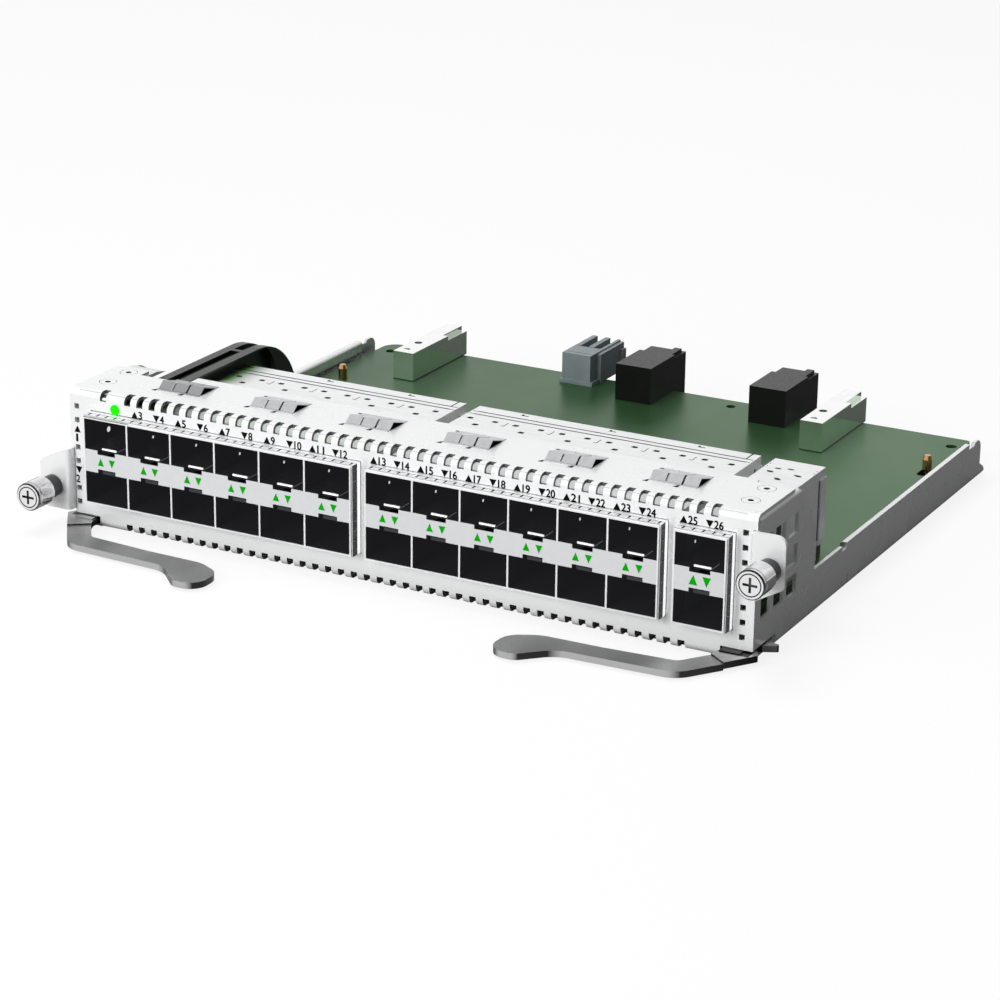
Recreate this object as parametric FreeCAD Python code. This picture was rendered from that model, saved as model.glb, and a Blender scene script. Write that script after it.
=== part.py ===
import FreeCAD, Part
import math
import os

V = FreeCAD.Vector

# Sizes are in millimetres. X runs across the card from the left edge of its panel, Y runs back from
# the panel's front face, and Z runs up from the underside of the tray.

# Sheet steel of the panel and the tray
sheet = 1.0
panel_width = 208.2
panel_height = 39.8
panel_bend = 2.0
tray_bend = 1.5
fit_gap = 0.05
part_gap = 0.2

# Cover flange, folded back from the top of the panel
cover_depth = 24.8
cover_tab_width = 10.7
cover_tab_depth = 23.2
cover_notch_width = 15.6
cover_notch_depth = 19.2
bottom_flange_depth = 10.5
corner_notch_width = 9.0
corner_notch_height = 3.25

# Slots over the panel's two folds
bend_slot_width = 2.0
bend_slot_back = 3.1
top_slot_count = 47
top_slot_left_out = 1
top_slot_margins = (10.2, 10.8)
top_slot_drop = 2.45
bottom_slot_count = 43
bottom_slot_margins = (17.95, 18.9)
bottom_slot_high = 2.5

# Square vents beside the cages
vent_size = 1.55
vent_pitch = 4.0
vent_drop = 5.15
vent_inset_left = 2.27
vent_inset_right = 3.15
vents_left = (0, 1, 3, 4, 6, 7)
vents_right = (0, 1, 2, 3, 4, 5, 6, 7)

# Tray
tray_depth = 170.6
wall_back = 165.4
wall_toe = (3.2, 2.5, 4.3)
tall_wall_back = 38.6
low_wall_height = 12.7
tray_lip_width = 11.0
tray_lip_depth = 26.7
front_lap = 1.2
right_corner_low = 26.0
left_corner_drop = 4.2
corner_bulge = (1.2, 0.5)
hem_width = 2.0
hem_height = 13.0
hem_drop = 3.5
hem_start = 61.0
hem_end = 155.5
relief_width = 3.0
relief_floor = 11.4
end_tab_height = 12.2
end_tab_length = 6.0
end_tab_radius = 3.0
end_tab_front_radius = 2.0
claw_slot_back = 14.3
claw_slot_high = 3.4
side_vent_width = 6.4
side_vent_height = 5.65
side_vent_pitch_y = 8.1
side_vent_pitch_z = 8.35
side_vent_first_y = 3.8
side_vent_first_z = 10.4
side_vent_rows = 3

# Ears that carry the thumbscrews
ear_face = -2.8
ear_reach = 8.9
ear_bend = 1.4
ear_corner = 2.5
ear_small_corner = 1.5
ear_slant = 0.7
right_ear_wall_drop = 4.2
right_ear_wall_height = 18.4
right_ear_edge_drop = 3.4
right_ear_edge_height = 13.8
right_screw_drop = 12.7
left_ear_low = 4.5
left_ear_edge_high = 18.1
left_ear_wall_high = 22.65
left_screw_z = 11.0
screw_offset = 4.7

# Thumbscrews
knob_radius = 4.0
knob_front = -14.7
knob_back = -7.6
knob_edge = 0.4
knob_face_ring = (2.75, 3.1)
knob_face_ring_depth = 0.25
knob_groove = (1.0, 1.7)
knob_groove_depth = 0.35
knob_hollow_radius = 3.3
knob_hollow_front = -12.0
screw_radius = 1.5
screw_tip = 3.0
running_gap = 0.08
sleeve_radius = 3.2
sleeve_front = -7.95
sleeve_neck_radius = 2.6
sleeve_swage_radius = 3.0
sleeve_swage = 0.5
ring_radius = 2.3
ring_thickness = 0.5
ring_end_gap = 0.15
groove_radius = 1.2
recess_length = 4.0
recess_width = 0.7
recess_depth = 1.5

# Transceiver cages
cage_columns = (6, 6, 1)
cage_left_margin = 7.94
cage_right_margin = 6.64
cage_spacing = (5.04, 4.83)
cage_sheet = 0.4
divider = 0.5
cage_mouth = -4.6
cage_back = 58.6
port_floor_height = 0.4
cage_top_drop = 6.43
centre_band_height = 6.49
lower_row_extra = 0.23
band_face = 0.5
band_back = 52.0
divider_back = 54.0
latch_notch = (4.15, 9.98)
latch_notch_deep = 1.1
latch_notch_back = 2.2
latch_tongue = (5.0, 9.7)
latch_tongue_in = 1.0
latch_lip = 0.5
cage_side_slot = (54.5, 55.2)
cage_side_slot_low = 14.25
cage_rear_opening = 12.8
cage_rear_opening_front = 54.8
rear_flange_drop = 2.17
top_fold_grooves = (52.0, 54.2)
fold_groove_width = 0.45
fold_groove_depth = 0.15
top_hole_width = 1.6
top_hole_length = 0.7
top_holes = ((2.4, 48.4), (6.4, 43.8), (10.15, 48.4))

# Spring fingers round each cage mouth
finger_sheet = 0.3
finger_front = -4.1
finger_back = 2.6
finger_slot_front = -3.3
finger_slot_width = 0.5
finger_pitch = 2.8
panel_cage_gap = 0.25

# Light pipes in the centre bands
arrow_width = 1.9
arrow_height = 2.1
arrow_up_offset = 4.2
arrow_down_offset = 7.9
arrow_scale = (1.0, 1.0, 1.2)
arrow_stand = 0.1
light_pipe_back = 46.0

# Port connectors
connector_back = 58.4
connector_front = 46.0
connector_side_gap = 0.8
connector_floor_gap = 0.15
connector_top_gap = 0.2
card_slot_width = 10.4
card_slot_height = 1.3
card_slot_depth = 6.0
lower_card_drop = 1.0
upper_card_rise = 0.6
connector_foot_front = 55.0
connector_foot_back = 60.8

# Main board
board_top = 8.67
board_thickness = 2.0
board_left = 3.4
board_right_margin = 5.0
board_front = 2.6
board_back = 171.1
board_corner_left = 5.0
board_corner_right = 1.5
board_hole_radius = 1.65
board_rear_hole_left = (8.2, 163.2)
board_rear_hole_right = (8.4, 163.3)
board_screw_row = 82.0
board_screw_columns = (36.0, 84.0, 126.0, 176.0)
board_small_hole = (127.5, 165.5)
standoff_across = 6.0
standoff_bore = 1.25
screw_head_radius = 2.7
screw_head_height = 1.6
left_pin_place = (9.85, 130.4)
right_pin_inset = 7.0
right_pin_y = 139.6
pin_slot_front = 135.4
locating_pin_radius = 1.4
locating_pin_top = 13.2
pin_taper = 1.2
pin_tip_radius = 0.92

# Guide blocks for the backplane
guide_left_edge = 23.65
guide_connector_gap = 11.5
guide_width = 7.1
guide_front = 138.2
guide_back = 173.0
guide_height = 9.13
guide_bore_radius = 2.0
guide_bore_depth = 20.0
guide_bore_up = 4.3
guide_screw_place = (2.6, 11.3)
guide_screw_radius = 1.25
guide_screw_depth = 2.0
guide_mark_place = (2.9, 3.4)
guide_mark_radius = 1.05
guide_mark_depth = 0.8
guide_step_place = (5.25, 22.4)
guide_step_depth = 1.5

# Backplane connectors
signal_left_edges = (93.4, 138.2)
signal_width = 11.95
signal_front = 154.2
signal_back = 179.6
signal_top = 20.24
signal_low = 5.7
signal_shelf = 19.2
signal_top_back = 175.3
signal_left_notch = (2.0, 171.0)
signal_right_ledge = (1.05, 171.2)
signal_tongue_width = 2.3
signal_tongue_back = 178.65
signal_slot_count = 5
signal_slot_width = 1.0
signal_slot_depth = 4.0
signal_slot_inset = 1.5
power_left = 71.05
power_width = 9.8
power_front = 161.8
power_back = 183.2
power_top = 18.4
power_rear_front = 166.8
power_rear_extra = 1.25
power_ledge_drop = 0.5
power_groove_depth = 0.6
power_front_groove = (163.6, 164.2)
power_rear_groove = (170.7, 171.4)
power_groove_margins = (0.65, 1.15)
power_rib_floor = 15.0
power_gaps = ((1.7, 4.5), (6.2, 8.8))
power_foot = (0.6, 0.9)
power_foot_front = 0.4
power_foot_height = 1.2
power_end_flange = (0.8, 180.5, 16.0)

# Spring clips on the cover
clip_count = 6
clip_margins = (22.2, 21.7)
clip_width = 13.55
clip_front = 10.3
clip_crest = 13.4
clip_back = 20.3
clip_rise = 1.65
clip_flat = 0.3
clip_foot = 1.0
clip_sheet = 0.25
clip_gap = 0.55
clip_slot_depth = 0.7

# Cover rivets
rivet_places = ((6.3, 9.55), (6.3, 19.6))
rivet_head_radius = 2.35
rivet_head_height = 0.3
rivet_seat_gap = 0.15
rivet_shank_radius = 1.25
rivet_bore_radius = 0.85
rivet_tail_radius = 1.7
rivet_tail_height = 0.6

# Ejector levers, as outlines of (x, y) or (x, y, corner radius)
lever_low = 0.65
lever_step = 0.4
lever_thickness = 1.8
lever_pivot = (6.0, 5.5)
lever_step_line = ((9.3, -4.9), (4.0, -8.9))
lever_arm_front = ((11.9, -20.0, 8.0), (44.6, -21.4, 9.0), (52.6, -29.3, 4.0))
lever_paddle_end = ((60.6, -29.2, 5.0), (60.3, -18.6, 6.0))
lever_arm_rear = ((52.4, -14.6, 10.0), (35.5, -14.2), (14.9, -12.7, 2.5))
lever_leg_outer = ((-1.7, -0.5, 0.8), (1.5, 5.5), (6.0, 6.5))
lever_leg_inner = ((8.4, 3.0), (8.4, -2.5))
lever_claw = ((5.0, 2.5), (0.5, 5.9), (-3.6, 8.0, 0.5), (-3.4, 8.9, 0.4), (-0.6, 9.4), (5.0, 9.7))
lever_pad = (2.5, 8.0, -2.7)
lever_pad_overlap = 0.9
hub_radius = 4.5
pivot_radius = 2.0
pivot_shank_radius = 1.6
pivot_head_radius = 3.2
pivot_head_height = 0.95
pivot_head_chamfer = 0.4
lever_end_gap = 0.1

# Status light and the black frame that carries its pipe
status_x = 15.16
status_drop = 4.2
status_radius = 1.45
status_stand = 0.25
status_lens_depth = 0.5
status_pipe_side = 1.8
status_pipe_bend = (5.5, 11.75)
arch_left = 12.2
arch_width = 9.3
arch_front = 14.0
arch_drop = 2.4
arch_turn_y = 64.2
arch_outer_radius = 20.26
arch_inner_radius = 14.5
arch_channel_left = 2.9
arch_channel_width = 3.25
arch_web = 0.8
arch_bar = (58.7, 60.3)
arch_bar_thickness = 0.4
arch_foot_front = 1.0
arch_pocket_front = 18.0
arch_pocket_depth = 2.3
arch_pocket_centre = (59.2, 25.6)
arch_pocket_radius = 14.2
arch_flange = 0.6

# Places that follow from the sizes above
cover_under = panel_height - sheet
board_low = board_top - board_thickness
port_floor = board_top + port_floor_height
port_ceiling = panel_height - cage_top_drop
cage_top = port_ceiling + cage_sheet
band_low = port_floor + (port_ceiling - port_floor - centre_band_height + lower_row_extra) / 2
band_high = band_low + centre_band_height
right_ear_wall_high = panel_height - right_ear_wall_drop
right_ear_low = right_ear_wall_high - right_ear_wall_height
right_ear_edge_high = panel_height - right_ear_edge_drop
right_ear_edge_low = right_ear_edge_high - right_ear_edge_height
right_screw_z = panel_height - right_screw_drop
board_right = panel_width - board_right_margin
board_rear_holes = (board_rear_hole_left, (panel_width - board_rear_hole_right[0], board_rear_hole_right[1]))
board_screw_places = tuple((x, board_screw_row) for x in board_screw_columns)
pin_places = (left_pin_place, (panel_width - right_pin_inset, right_pin_y))
guide_left_edges = (guide_left_edge, signal_left_edges[1] + signal_width + guide_connector_gap)
columns_wide = panel_width - cage_left_margin - cage_right_margin - sum(cage_spacing)
port_pitch = (columns_wide + len(cage_columns) * divider) / sum(cage_columns)
hub_low = lever_low + lever_step
hub_high = hub_low + lever_thickness
status_z = panel_height - status_drop
arch_top = panel_height - arch_drop
arch_turn_z = arch_top - arch_outer_radius
origin = V(panel_width / 2, tray_depth / 2, 0)


def block(x0, x1, y0, y1, z0, z1):
    return Part.makeBox(x1 - x0, y1 - y0, z1 - z0, V(x0, y0, z0))


def rod_x(y, z, radius, x0, x1):
    return Part.makeCylinder(radius, x1 - x0, V(x0, y, z), V(1, 0, 0))


def rod_y(x, z, radius, y0, y1):
    return Part.makeCylinder(radius, y1 - y0, V(x, y0, z), V(0, 1, 0))


def rod_z(x, y, radius, z0, z1):
    return Part.makeCylinder(radius, z1 - z0, V(x, y, z0), V(0, 0, 1))


def rounded_corner(before, corner, after, radius):
    """Start, middle and end of the arc that rounds a corner."""
    back = (before - corner).normalize()
    ahead = (after - corner).normalize()
    half = back.getAngle(ahead) / 2
    bisector = (back + ahead).normalize()
    centre = corner + bisector * (radius / math.sin(half))
    reach = radius / math.tan(half)
    return corner + back * reach, centre - bisector * radius, corner + ahead * reach


def outline(corners):
    """Flat face through corners (u, v) or (u, v, radius), in order."""
    points = [V(corner[0], corner[1], 0) for corner in corners]
    stretches = []
    for i, corner in enumerate(corners):
        if len(corner) == 3:
            after = points[(i + 1) % len(points)]
            stretches.append(rounded_corner(points[i - 1], points[i], after, corner[2]))
        else:
            stretches.append((points[i],))
    edges = []
    for i, stretch in enumerate(stretches):
        if len(stretch) == 3:
            edges.append(Part.Arc(*stretch).toShape())
        start, end = stretch[-1], stretches[(i + 1) % len(stretches)][0]
        if start.distanceToPoint(end) > 1e-6:
            edges.append(Part.makeLine(start, end))
    return Part.Face(Part.Wire(edges))


def prism_z(corners, z0, z1):
    """An (x, y) outline carried up from z0 to z1."""
    solid = outline(corners).extrude(V(0, 0, z1 - z0))
    solid.translate(V(0, 0, z0))
    return solid


def prism_x(corners, x0, x1):
    """A (y, z) outline carried across from x0 to x1."""
    solid = outline(corners).extrude(V(0, 0, x1 - x0))
    solid.rotate(V(0, 0, 0), V(1, 1, 1), 120)
    solid.translate(V(x0, 0, 0))
    return solid


def prism_y(corners, y0, y1):
    """An (x, z) outline carried back from y0 to y1."""
    solid = outline(corners).extrude(V(0, 0, y1 - y0))
    solid.rotate(V(0, 0, 0), V(1, 0, 0), 90)
    solid.translate(V(0, y1, 0))
    return solid


def turned_y(corners, x, z):
    """A (radius, y) outline turned about the line through (x, z) along Y."""
    solid = outline(corners).revolve(V(0, 0, 0), V(0, 1, 0), 360)
    solid.translate(V(x, 0, z))
    return solid


def mirrored(shape):
    return shape.mirror(V(panel_width / 2, 0, 0), V(1, 0, 0))


def joined(solids):
    return solids[0].fuse(solids[1:]).removeSplitter()


def both_sides(x, y):
    return ((x, y), (panel_width - x, y))


def spread(margins, width, count):
    """Left edges of a row of like features between two margins of the panel."""
    pitch = (panel_width - sum(margins) - width) / (count - 1)
    return [margins[0] + k * pitch for k in range(count)]


def cage_span(cage):
    """Inside faces of a cage's left and right walls."""
    columns_before = sum(cage_columns[:cage])
    left = cage_left_margin + columns_before * port_pitch - cage * divider + sum(cage_spacing[:cage])
    return left, left + cage_columns[cage] * port_pitch - divider


def column_lefts(cage):
    return [cage_span(cage)[0] + k * port_pitch for k in range(cage_columns[cage])]


def cage_box(cage, grow, y0, y1):
    """Block over a cage's inside, grown on its four sides."""
    left, right = cage_span(cage)
    return block(left - grow, right + grow, y0, y1, port_floor - grow, port_ceiling + grow)


def panel_slots():
    cuts = []
    low, high = panel_height - top_slot_drop, panel_height + 1
    for k, x in enumerate(spread(top_slot_margins, bend_slot_width, top_slot_count)):
        if k != top_slot_left_out:
            cuts.append(block(x, x + bend_slot_width, -1, bend_slot_back, low, high))
    for x in spread(bottom_slot_margins, bend_slot_width, bottom_slot_count):
        cuts.append(block(x, x + bend_slot_width, -1, bend_slot_back, -1, bottom_slot_high))
    return cuts


def panel_vents():
    half = vent_size / 2
    cuts = []
    for x, rows in ((vent_inset_left, vents_left), (panel_width - vent_inset_right, vents_right)):
        for k in rows:
            z = panel_height - vent_drop - k * vent_pitch
            cuts.append(block(x - half, x + half, -1, sheet + 1, z - half, z + half))
    return cuts


def cover_cutouts():
    """Stepped rear edge of the cover flange, the clips' slots and the rivets' seats."""
    low, high = panel_height - sheet - 1, panel_height + 1
    far = cover_depth + 1
    notch_right = cover_tab_width + cover_notch_width
    tab_rear = block(-1, cover_tab_width, cover_tab_depth, far, low, high)
    cuts = [tab_rear, mirrored(tab_rear)]
    cuts.append(block(cover_tab_width, notch_right, cover_notch_depth, far, low, high))
    slot_back = clip_back + clip_slot_depth
    for x in spread(clip_margins, clip_width, clip_count):
        cuts.append(block(x - part_gap, x + clip_width + part_gap, clip_back, slot_back, low, high))
    seat_radius = rivet_head_radius + rivet_seat_gap
    for place in rivet_places:
        for x, y in both_sides(*place):
            cuts.append(rod_z(x, y, seat_radius, panel_height - rivet_head_height, high))
            cuts.append(rod_z(x, y, rivet_shank_radius + fit_gap, low, high))
    return cuts


def ear_notches():
    """Strips cut from the panel's two edges, where the tray's ears pass."""
    side = sheet + part_gap
    back = panel_bend + 1
    left = block(-1, side, -1, back, corner_notch_height - 1, left_ear_wall_high + part_gap)
    right = block(panel_width - side, panel_width + 1, -1, back, right_ear_low - part_gap,
                  right_ear_wall_high + part_gap)
    return [left, right]


def front_panel():
    inner = panel_bend - sheet
    section = [(bottom_flange_depth, 0), (0, 0, panel_bend), (0, panel_height, panel_bend),
               (cover_depth, panel_height), (cover_depth, cover_under), (sheet, cover_under, inner),
               (sheet, sheet, inner), (bottom_flange_depth, sheet)]
    panel = prism_x(section, 0, panel_width)
    cuts = panel_slots() + panel_vents() + cover_cutouts() + ear_notches()
    for cage in range(len(cage_columns)):
        cuts.append(cage_box(cage, cage_sheet + finger_sheet + panel_cage_gap, -1, sheet + 1))
    corner = block(-1, corner_notch_width, -1, bottom_flange_depth + 1, -1, corner_notch_height)
    cuts += [corner, mirrored(corner)]
    cuts.append(rod_y(status_x, status_z, status_radius + fit_gap, -1, sheet + 1))
    return panel.cut(cuts)


def wall_top_trim(corner_low, x0, x1):
    """What lies above the top edge of a tray side wall."""
    high = panel_height + 5
    tab_front = wall_back - end_tab_length
    across, up = corner_bulge
    bulge = ((tray_lip_depth + tall_wall_back) / 2 + across, (cover_under + corner_low) / 2 + up)
    toe_back, toe_low, toe_high = wall_toe
    corners = [(tray_lip_depth, high), (tray_lip_depth, cover_under), bulge,
               (tall_wall_back, corner_low), (tall_wall_back, low_wall_height),
               (hem_start - relief_width, low_wall_height), (hem_start - relief_width, relief_floor),
               (hem_start, relief_floor), (hem_start, hem_height), (hem_end, hem_height),
               (hem_end, relief_floor), (tab_front, relief_floor),
               (tab_front, end_tab_height, end_tab_front_radius - part_gap),
               (wall_back, end_tab_height, end_tab_radius), (wall_back, toe_high),
               (wall_back + toe_back, toe_low), (tray_depth, 0.0), (tray_depth + 2, -1),
               (tray_depth + 2, high)]
    return prism_x(corners, x0, x1)


def side_wall_hem():
    """Rolled edge on the left wall, turned inwards."""
    round_over = hem_width / 2 - 0.01
    low = hem_height - hem_drop
    section = [(0, low), (0, hem_height, round_over), (hem_width, hem_height, round_over), (hem_width, low)]
    return prism_y(section, hem_start, hem_end)


def ear_blank():
    """Right-hand strip that runs forward past the panel and turns outwards, over the full height."""
    wall = panel_width - sheet
    out = panel_width + ear_reach
    plan = [(wall, panel_bend), (wall, ear_face, ear_bend), (out, ear_face), (out, ear_face + sheet),
            (panel_width, ear_face + sheet, ear_bend - sheet), (panel_width, panel_bend)]
    return prism_z(plan, 0, panel_height)


def ear(front_outline, screw_z):
    """Right-hand ear with the hole for its screw's sleeve."""
    trimmed = ear_blank().common(prism_y(front_outline, ear_face - 1, panel_bend + 1))
    hole_radius = sleeve_neck_radius + 0.02
    return trimmed.cut(rod_y(panel_width + screw_offset, screw_z, hole_radius, ear_face - 1, 0))


def right_ear():
    inside = panel_width - sheet - 1
    fold = panel_width + 0.5
    out = panel_width + ear_reach
    return ear([(inside, right_ear_low), (fold, right_ear_low + ear_slant),
                (out, right_ear_edge_low, ear_small_corner), (out, right_ear_edge_high, ear_corner),
                (fold, right_ear_edge_high), (panel_width, right_ear_wall_high),
                (inside, right_ear_wall_high)], right_screw_z)


def left_ear():
    inside = panel_width - sheet - 1
    fold = panel_width + 0.5
    out = panel_width + ear_reach
    return mirrored(ear([(inside, left_ear_low), (out, left_ear_low, ear_corner),
                         (out, left_ear_edge_high, ear_small_corner),
                         (fold, left_ear_wall_high - ear_slant), (inside, left_ear_wall_high)], left_screw_z))


def side_vents():
    cuts = []
    for row in range(side_vent_rows):
        for column in range(side_vent_rows):
            y = side_vent_first_y + column * side_vent_pitch_y
            z = side_vent_first_z + row * side_vent_pitch_z
            cuts.append(block(-1, panel_width + 1, y, y + side_vent_width, z, z + side_vent_height))
    return cuts


def base_tray():
    inner = tray_bend - sheet
    right, top, under = panel_width, cover_under, cover_under - sheet
    section = [(0, 0, tray_bend), (right, 0, tray_bend), (right, top, tray_bend),
               (right - tray_lip_width, top), (right - tray_lip_width, under),
               (right - sheet, under, inner), (right - sheet, sheet, inner), (sheet, sheet, inner),
               (sheet, under, inner), (tray_lip_width, under), (tray_lip_width, top), (0, top, tray_bend)]
    tray = prism_y(section, sheet + fit_gap, tray_depth + 1)
    middle = panel_width / 2
    left_corner_low = cover_under - left_corner_drop
    cuts = [wall_top_trim(left_corner_low, -1, middle), wall_top_trim(right_corner_low, middle, right + 1)]
    cuts += side_vents()
    floor_front = bottom_flange_depth + part_gap
    flange_side = corner_notch_width - part_gap
    cuts.append(block(flange_side, right - flange_side, 0, floor_front, -1, sheet))
    claw_slot = block(-1, tray_bend, 0, claw_slot_back, sheet, claw_slot_high)
    front_bend = block(-1, right + 1, 0, panel_bend, under - 1, top + 1)
    cuts += [claw_slot, mirrored(claw_slot), front_bend]
    for place in rivet_places:
        cuts += [rod_z(x, y, rivet_shank_radius + fit_gap, under - 1, top + 1) for x, y in both_sides(*place)]
    for x, y in both_sides(*lever_pivot):
        cuts.append(rod_z(x, y, pivot_shank_radius + 0.02, -1, sheet + 1))
    lip_side = corner_notch_width + hub_radius
    lip_back = floor_front + front_lap
    front_lip = block(lip_side, right - lip_side, bend_slot_back + 1, lip_back, sheet, 2 * sheet)
    hem = side_wall_hem()
    return joined([tray.cut(cuts), front_lip, hem, mirrored(hem), right_ear(), left_ear()])


def cover_rivets():
    """Tubular rivets with flush heads, set from above and rolled over under the tray's lips."""
    solids = []
    head_low = panel_height - rivet_head_height
    tail_high = cover_under - sheet
    for place in rivet_places:
        for x, y in both_sides(*place):
            head = rod_z(x, y, rivet_head_radius, head_low, panel_height)
            shank = rod_z(x, y, rivet_shank_radius, tail_high - rivet_tail_height, head_low)
            tail = rod_z(x, y, rivet_tail_radius, tail_high - rivet_tail_height, tail_high)
            bore = rod_z(x, y, rivet_bore_radius, 0, panel_height + 1)
            solids.append(joined([head, shank, tail]).cut(bore))
    return solids


def grounding_clips():
    """Three-fingered springs that press on the card above."""
    base, crest = panel_height, panel_height + clip_rise
    under = [(clip_front, base), (clip_front + clip_foot, base), (clip_crest, crest),
             (clip_crest + clip_flat, crest), (clip_back - clip_foot, base), (clip_back, base)]
    over = [(y, z + clip_sheet) for y, z in reversed(under)]
    finger = (clip_width - 2 * clip_gap) / 3
    gap_front = clip_front + clip_foot / 2
    gap_back = clip_back - clip_foot / 2
    solids = []
    for x in spread(clip_margins, clip_width, clip_count):
        clip = prism_x(under + over, x, x + clip_width)
        gaps = []
        for gap_left in (x + finger, x + 2 * finger + clip_gap):
            gaps.append(block(gap_left, gap_left + clip_gap, gap_front, gap_back, base - 1, crest + 1))
        solids.append(clip.cut(gaps))
    return solids


def cage_shell(cage):
    """Folded sheet cage, open in front and behind, with its top's folds and holes."""
    left, right = cage_span(cage)
    side = cage_sheet + 1
    slot_front, slot_back = cage_side_slot
    slot_high = port_ceiling - rear_flange_drop
    far = cage_back + 1
    cuts = [cage_box(cage, 0, cage_mouth - 1, far)]
    cuts.append(block(left - side, right + side, slot_front, slot_back, cage_side_slot_low, slot_high))
    cuts.append(block(left - side, right + side, cage_rear_opening_front, far, 0, cage_rear_opening))
    for y in top_fold_grooves:
        groove_low = cage_top - fold_groove_depth
        cuts.append(block(left, right, y, y + fold_groove_width, groove_low, cage_top + 1))
    for x in column_lefts(cage):
        for across, y in top_holes:
            hole_left = x + across - top_hole_width / 2
            hole_right = hole_left + top_hole_width
            cuts.append(block(hole_left, hole_right, y, y + top_hole_length, port_ceiling - 1, cage_top + 1))
    return cage_box(cage, cage_sheet, cage_mouth, cage_back).cut(cuts)


def cage_rear_cover(cage):
    """Plate that closes the back of a cage, with a flange along each side."""
    left, right = cage_span(cage)
    outer_left, outer_right = left - cage_sheet, right + cage_sheet
    back = cage_back + cage_sheet
    low, high = cage_rear_opening, port_ceiling - rear_flange_drop
    flange_front = cage_side_slot[1]
    plate = block(outer_left, outer_right, cage_back, back, low, cage_top)
    flange_left = block(outer_left - cage_sheet, outer_left, flange_front, back, low, high)
    flange_right = block(outer_right, outer_right + cage_sheet, flange_front, back, low, high)
    return joined([plate, flange_left, flange_right])


def cage_dividers(cage):
    """Upright plates between the columns, notched for the centre band."""
    solids = []
    notch_back = cage_mouth + band_face + fit_gap
    for x in column_lefts(cage)[1:]:
        plate = block(x - divider, x, cage_mouth + fit_gap, divider_back, port_floor, port_ceiling)
        notch = block(x - divider - 1, x + 1, cage_mouth - 1, notch_back, band_low, band_high)
        solids.append(plate.cut(notch))
    return solids


def arrow(left, base_z, tip_z, width, grow, y0, y1):
    """Triangular prism, its three faces moved out by grow."""
    up = 1 if tip_z > base_z else -1
    slope = math.atan2(abs(tip_z - base_z), width / 2)
    side = grow / math.tan(slope / 2)
    tip = tip_z + up * grow / math.cos(slope)
    base = base_z - up * grow
    return prism_y([(left - side, base), (left + width / 2, tip), (left + width + side, base)], y0, y1)


def arrows(cage, grow, y0, y1):
    middle = (band_low + band_high) / 2
    width = arrow_width * arrow_scale[cage]
    half = arrow_height * arrow_scale[cage] / 2
    prisms = []
    for x in column_lefts(cage):
        prisms.append(arrow(x + arrow_up_offset, middle - half, middle + half, width, grow, y0, y1))
        prisms.append(arrow(x + arrow_down_offset, middle + half, middle - half, width, grow, y0, y1))
    return prisms


def latch_tongues(x):
    """Upper and lower spring tongue of one column, each with an upturned lip."""
    left, right = x + latch_tongue[0], x + latch_tongue[1]
    front = cage_mouth + latch_tongue_in
    back = cage_mouth + latch_notch_back + part_gap
    tongues = []
    for face, inwards in ((band_high, -1), (band_low, 1)):
        inner_face = face + inwards * cage_sheet
        low, high = sorted((face, inner_face))
        tongues.append(block(left, right, front, back, low, high))
        low, high = sorted((face - inwards * latch_lip, inner_face))
        tongues.append(block(left, right, front, front + cage_sheet, low, high))
    return tongues


def latch_notches(x):
    left, right = x + latch_notch[0], x + latch_notch[1]
    front, back = cage_mouth - 1, cage_mouth + latch_notch_back
    return [block(left, right, front, back, band_high - latch_notch_deep, band_high + 1),
            block(left, right, front, back, band_low - 1, band_low + latch_notch_deep)]


def cage_centre_band(cage):
    """Channel between the port rows, with latch tongues and windows for the light pipes."""
    left, right = cage_span(cage)
    face_back = cage_mouth + band_face
    solids = [block(left, right, cage_mouth, face_back, band_low, band_high)]
    cuts, tongues = arrows(cage, fit_gap, cage_mouth - 1, face_back + 1), []
    for x in column_lefts(cage):
        column_right = x + port_pitch - divider
        solids.append(block(x, column_right, cage_mouth, band_back, band_high - cage_sheet, band_high))
        solids.append(block(x, column_right, cage_mouth, band_back, band_low, band_low + cage_sheet))
        cuts += latch_notches(x)
        tongues += latch_tongues(x)
    return joined([joined(solids).cut(cuts)] + tongues)


def cage_light_pipes(cage):
    return arrows(cage, 0, cage_mouth - arrow_stand, light_pipe_back)


def finger_slots(cage):
    """Cuts that part the spring fingers on the four sides of a cage mouth."""
    left, right = cage_span(cage)
    low, high = port_floor - cage_sheet, cage_top
    outer_left, outer_right = left - cage_sheet, right + cage_sheet
    reach = finger_sheet + 0.02
    y0, y1 = finger_slot_front, finger_back + 1
    half = finger_slot_width / 2
    cuts = []
    across = int((right - left - 1) / finger_pitch)
    first = (left + right - across * finger_pitch) / 2
    for k in range(across + 1):
        x = first + k * finger_pitch
        cuts.append(block(x - half, x + half, y0, y1, high, high + reach))
        cuts.append(block(x - half, x + half, y0, y1, low - reach, low))
    up = int((high - low - 1) / finger_pitch)
    first = (low + high - up * finger_pitch) / 2
    for k in range(up + 1):
        z = first + k * finger_pitch
        cuts.append(block(outer_left - reach, outer_left, y0, y1, z - half, z + half))
        cuts.append(block(outer_right, outer_right + reach, y0, y1, z - half, z + half))
    return cuts


def cage_finger_frame(cage):
    frame = cage_box(cage, cage_sheet + finger_sheet, finger_front, finger_back)
    hollow = cage_box(cage, cage_sheet, finger_front - 1, finger_back + 1)
    return frame.cut([hollow] + finger_slots(cage))


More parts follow.
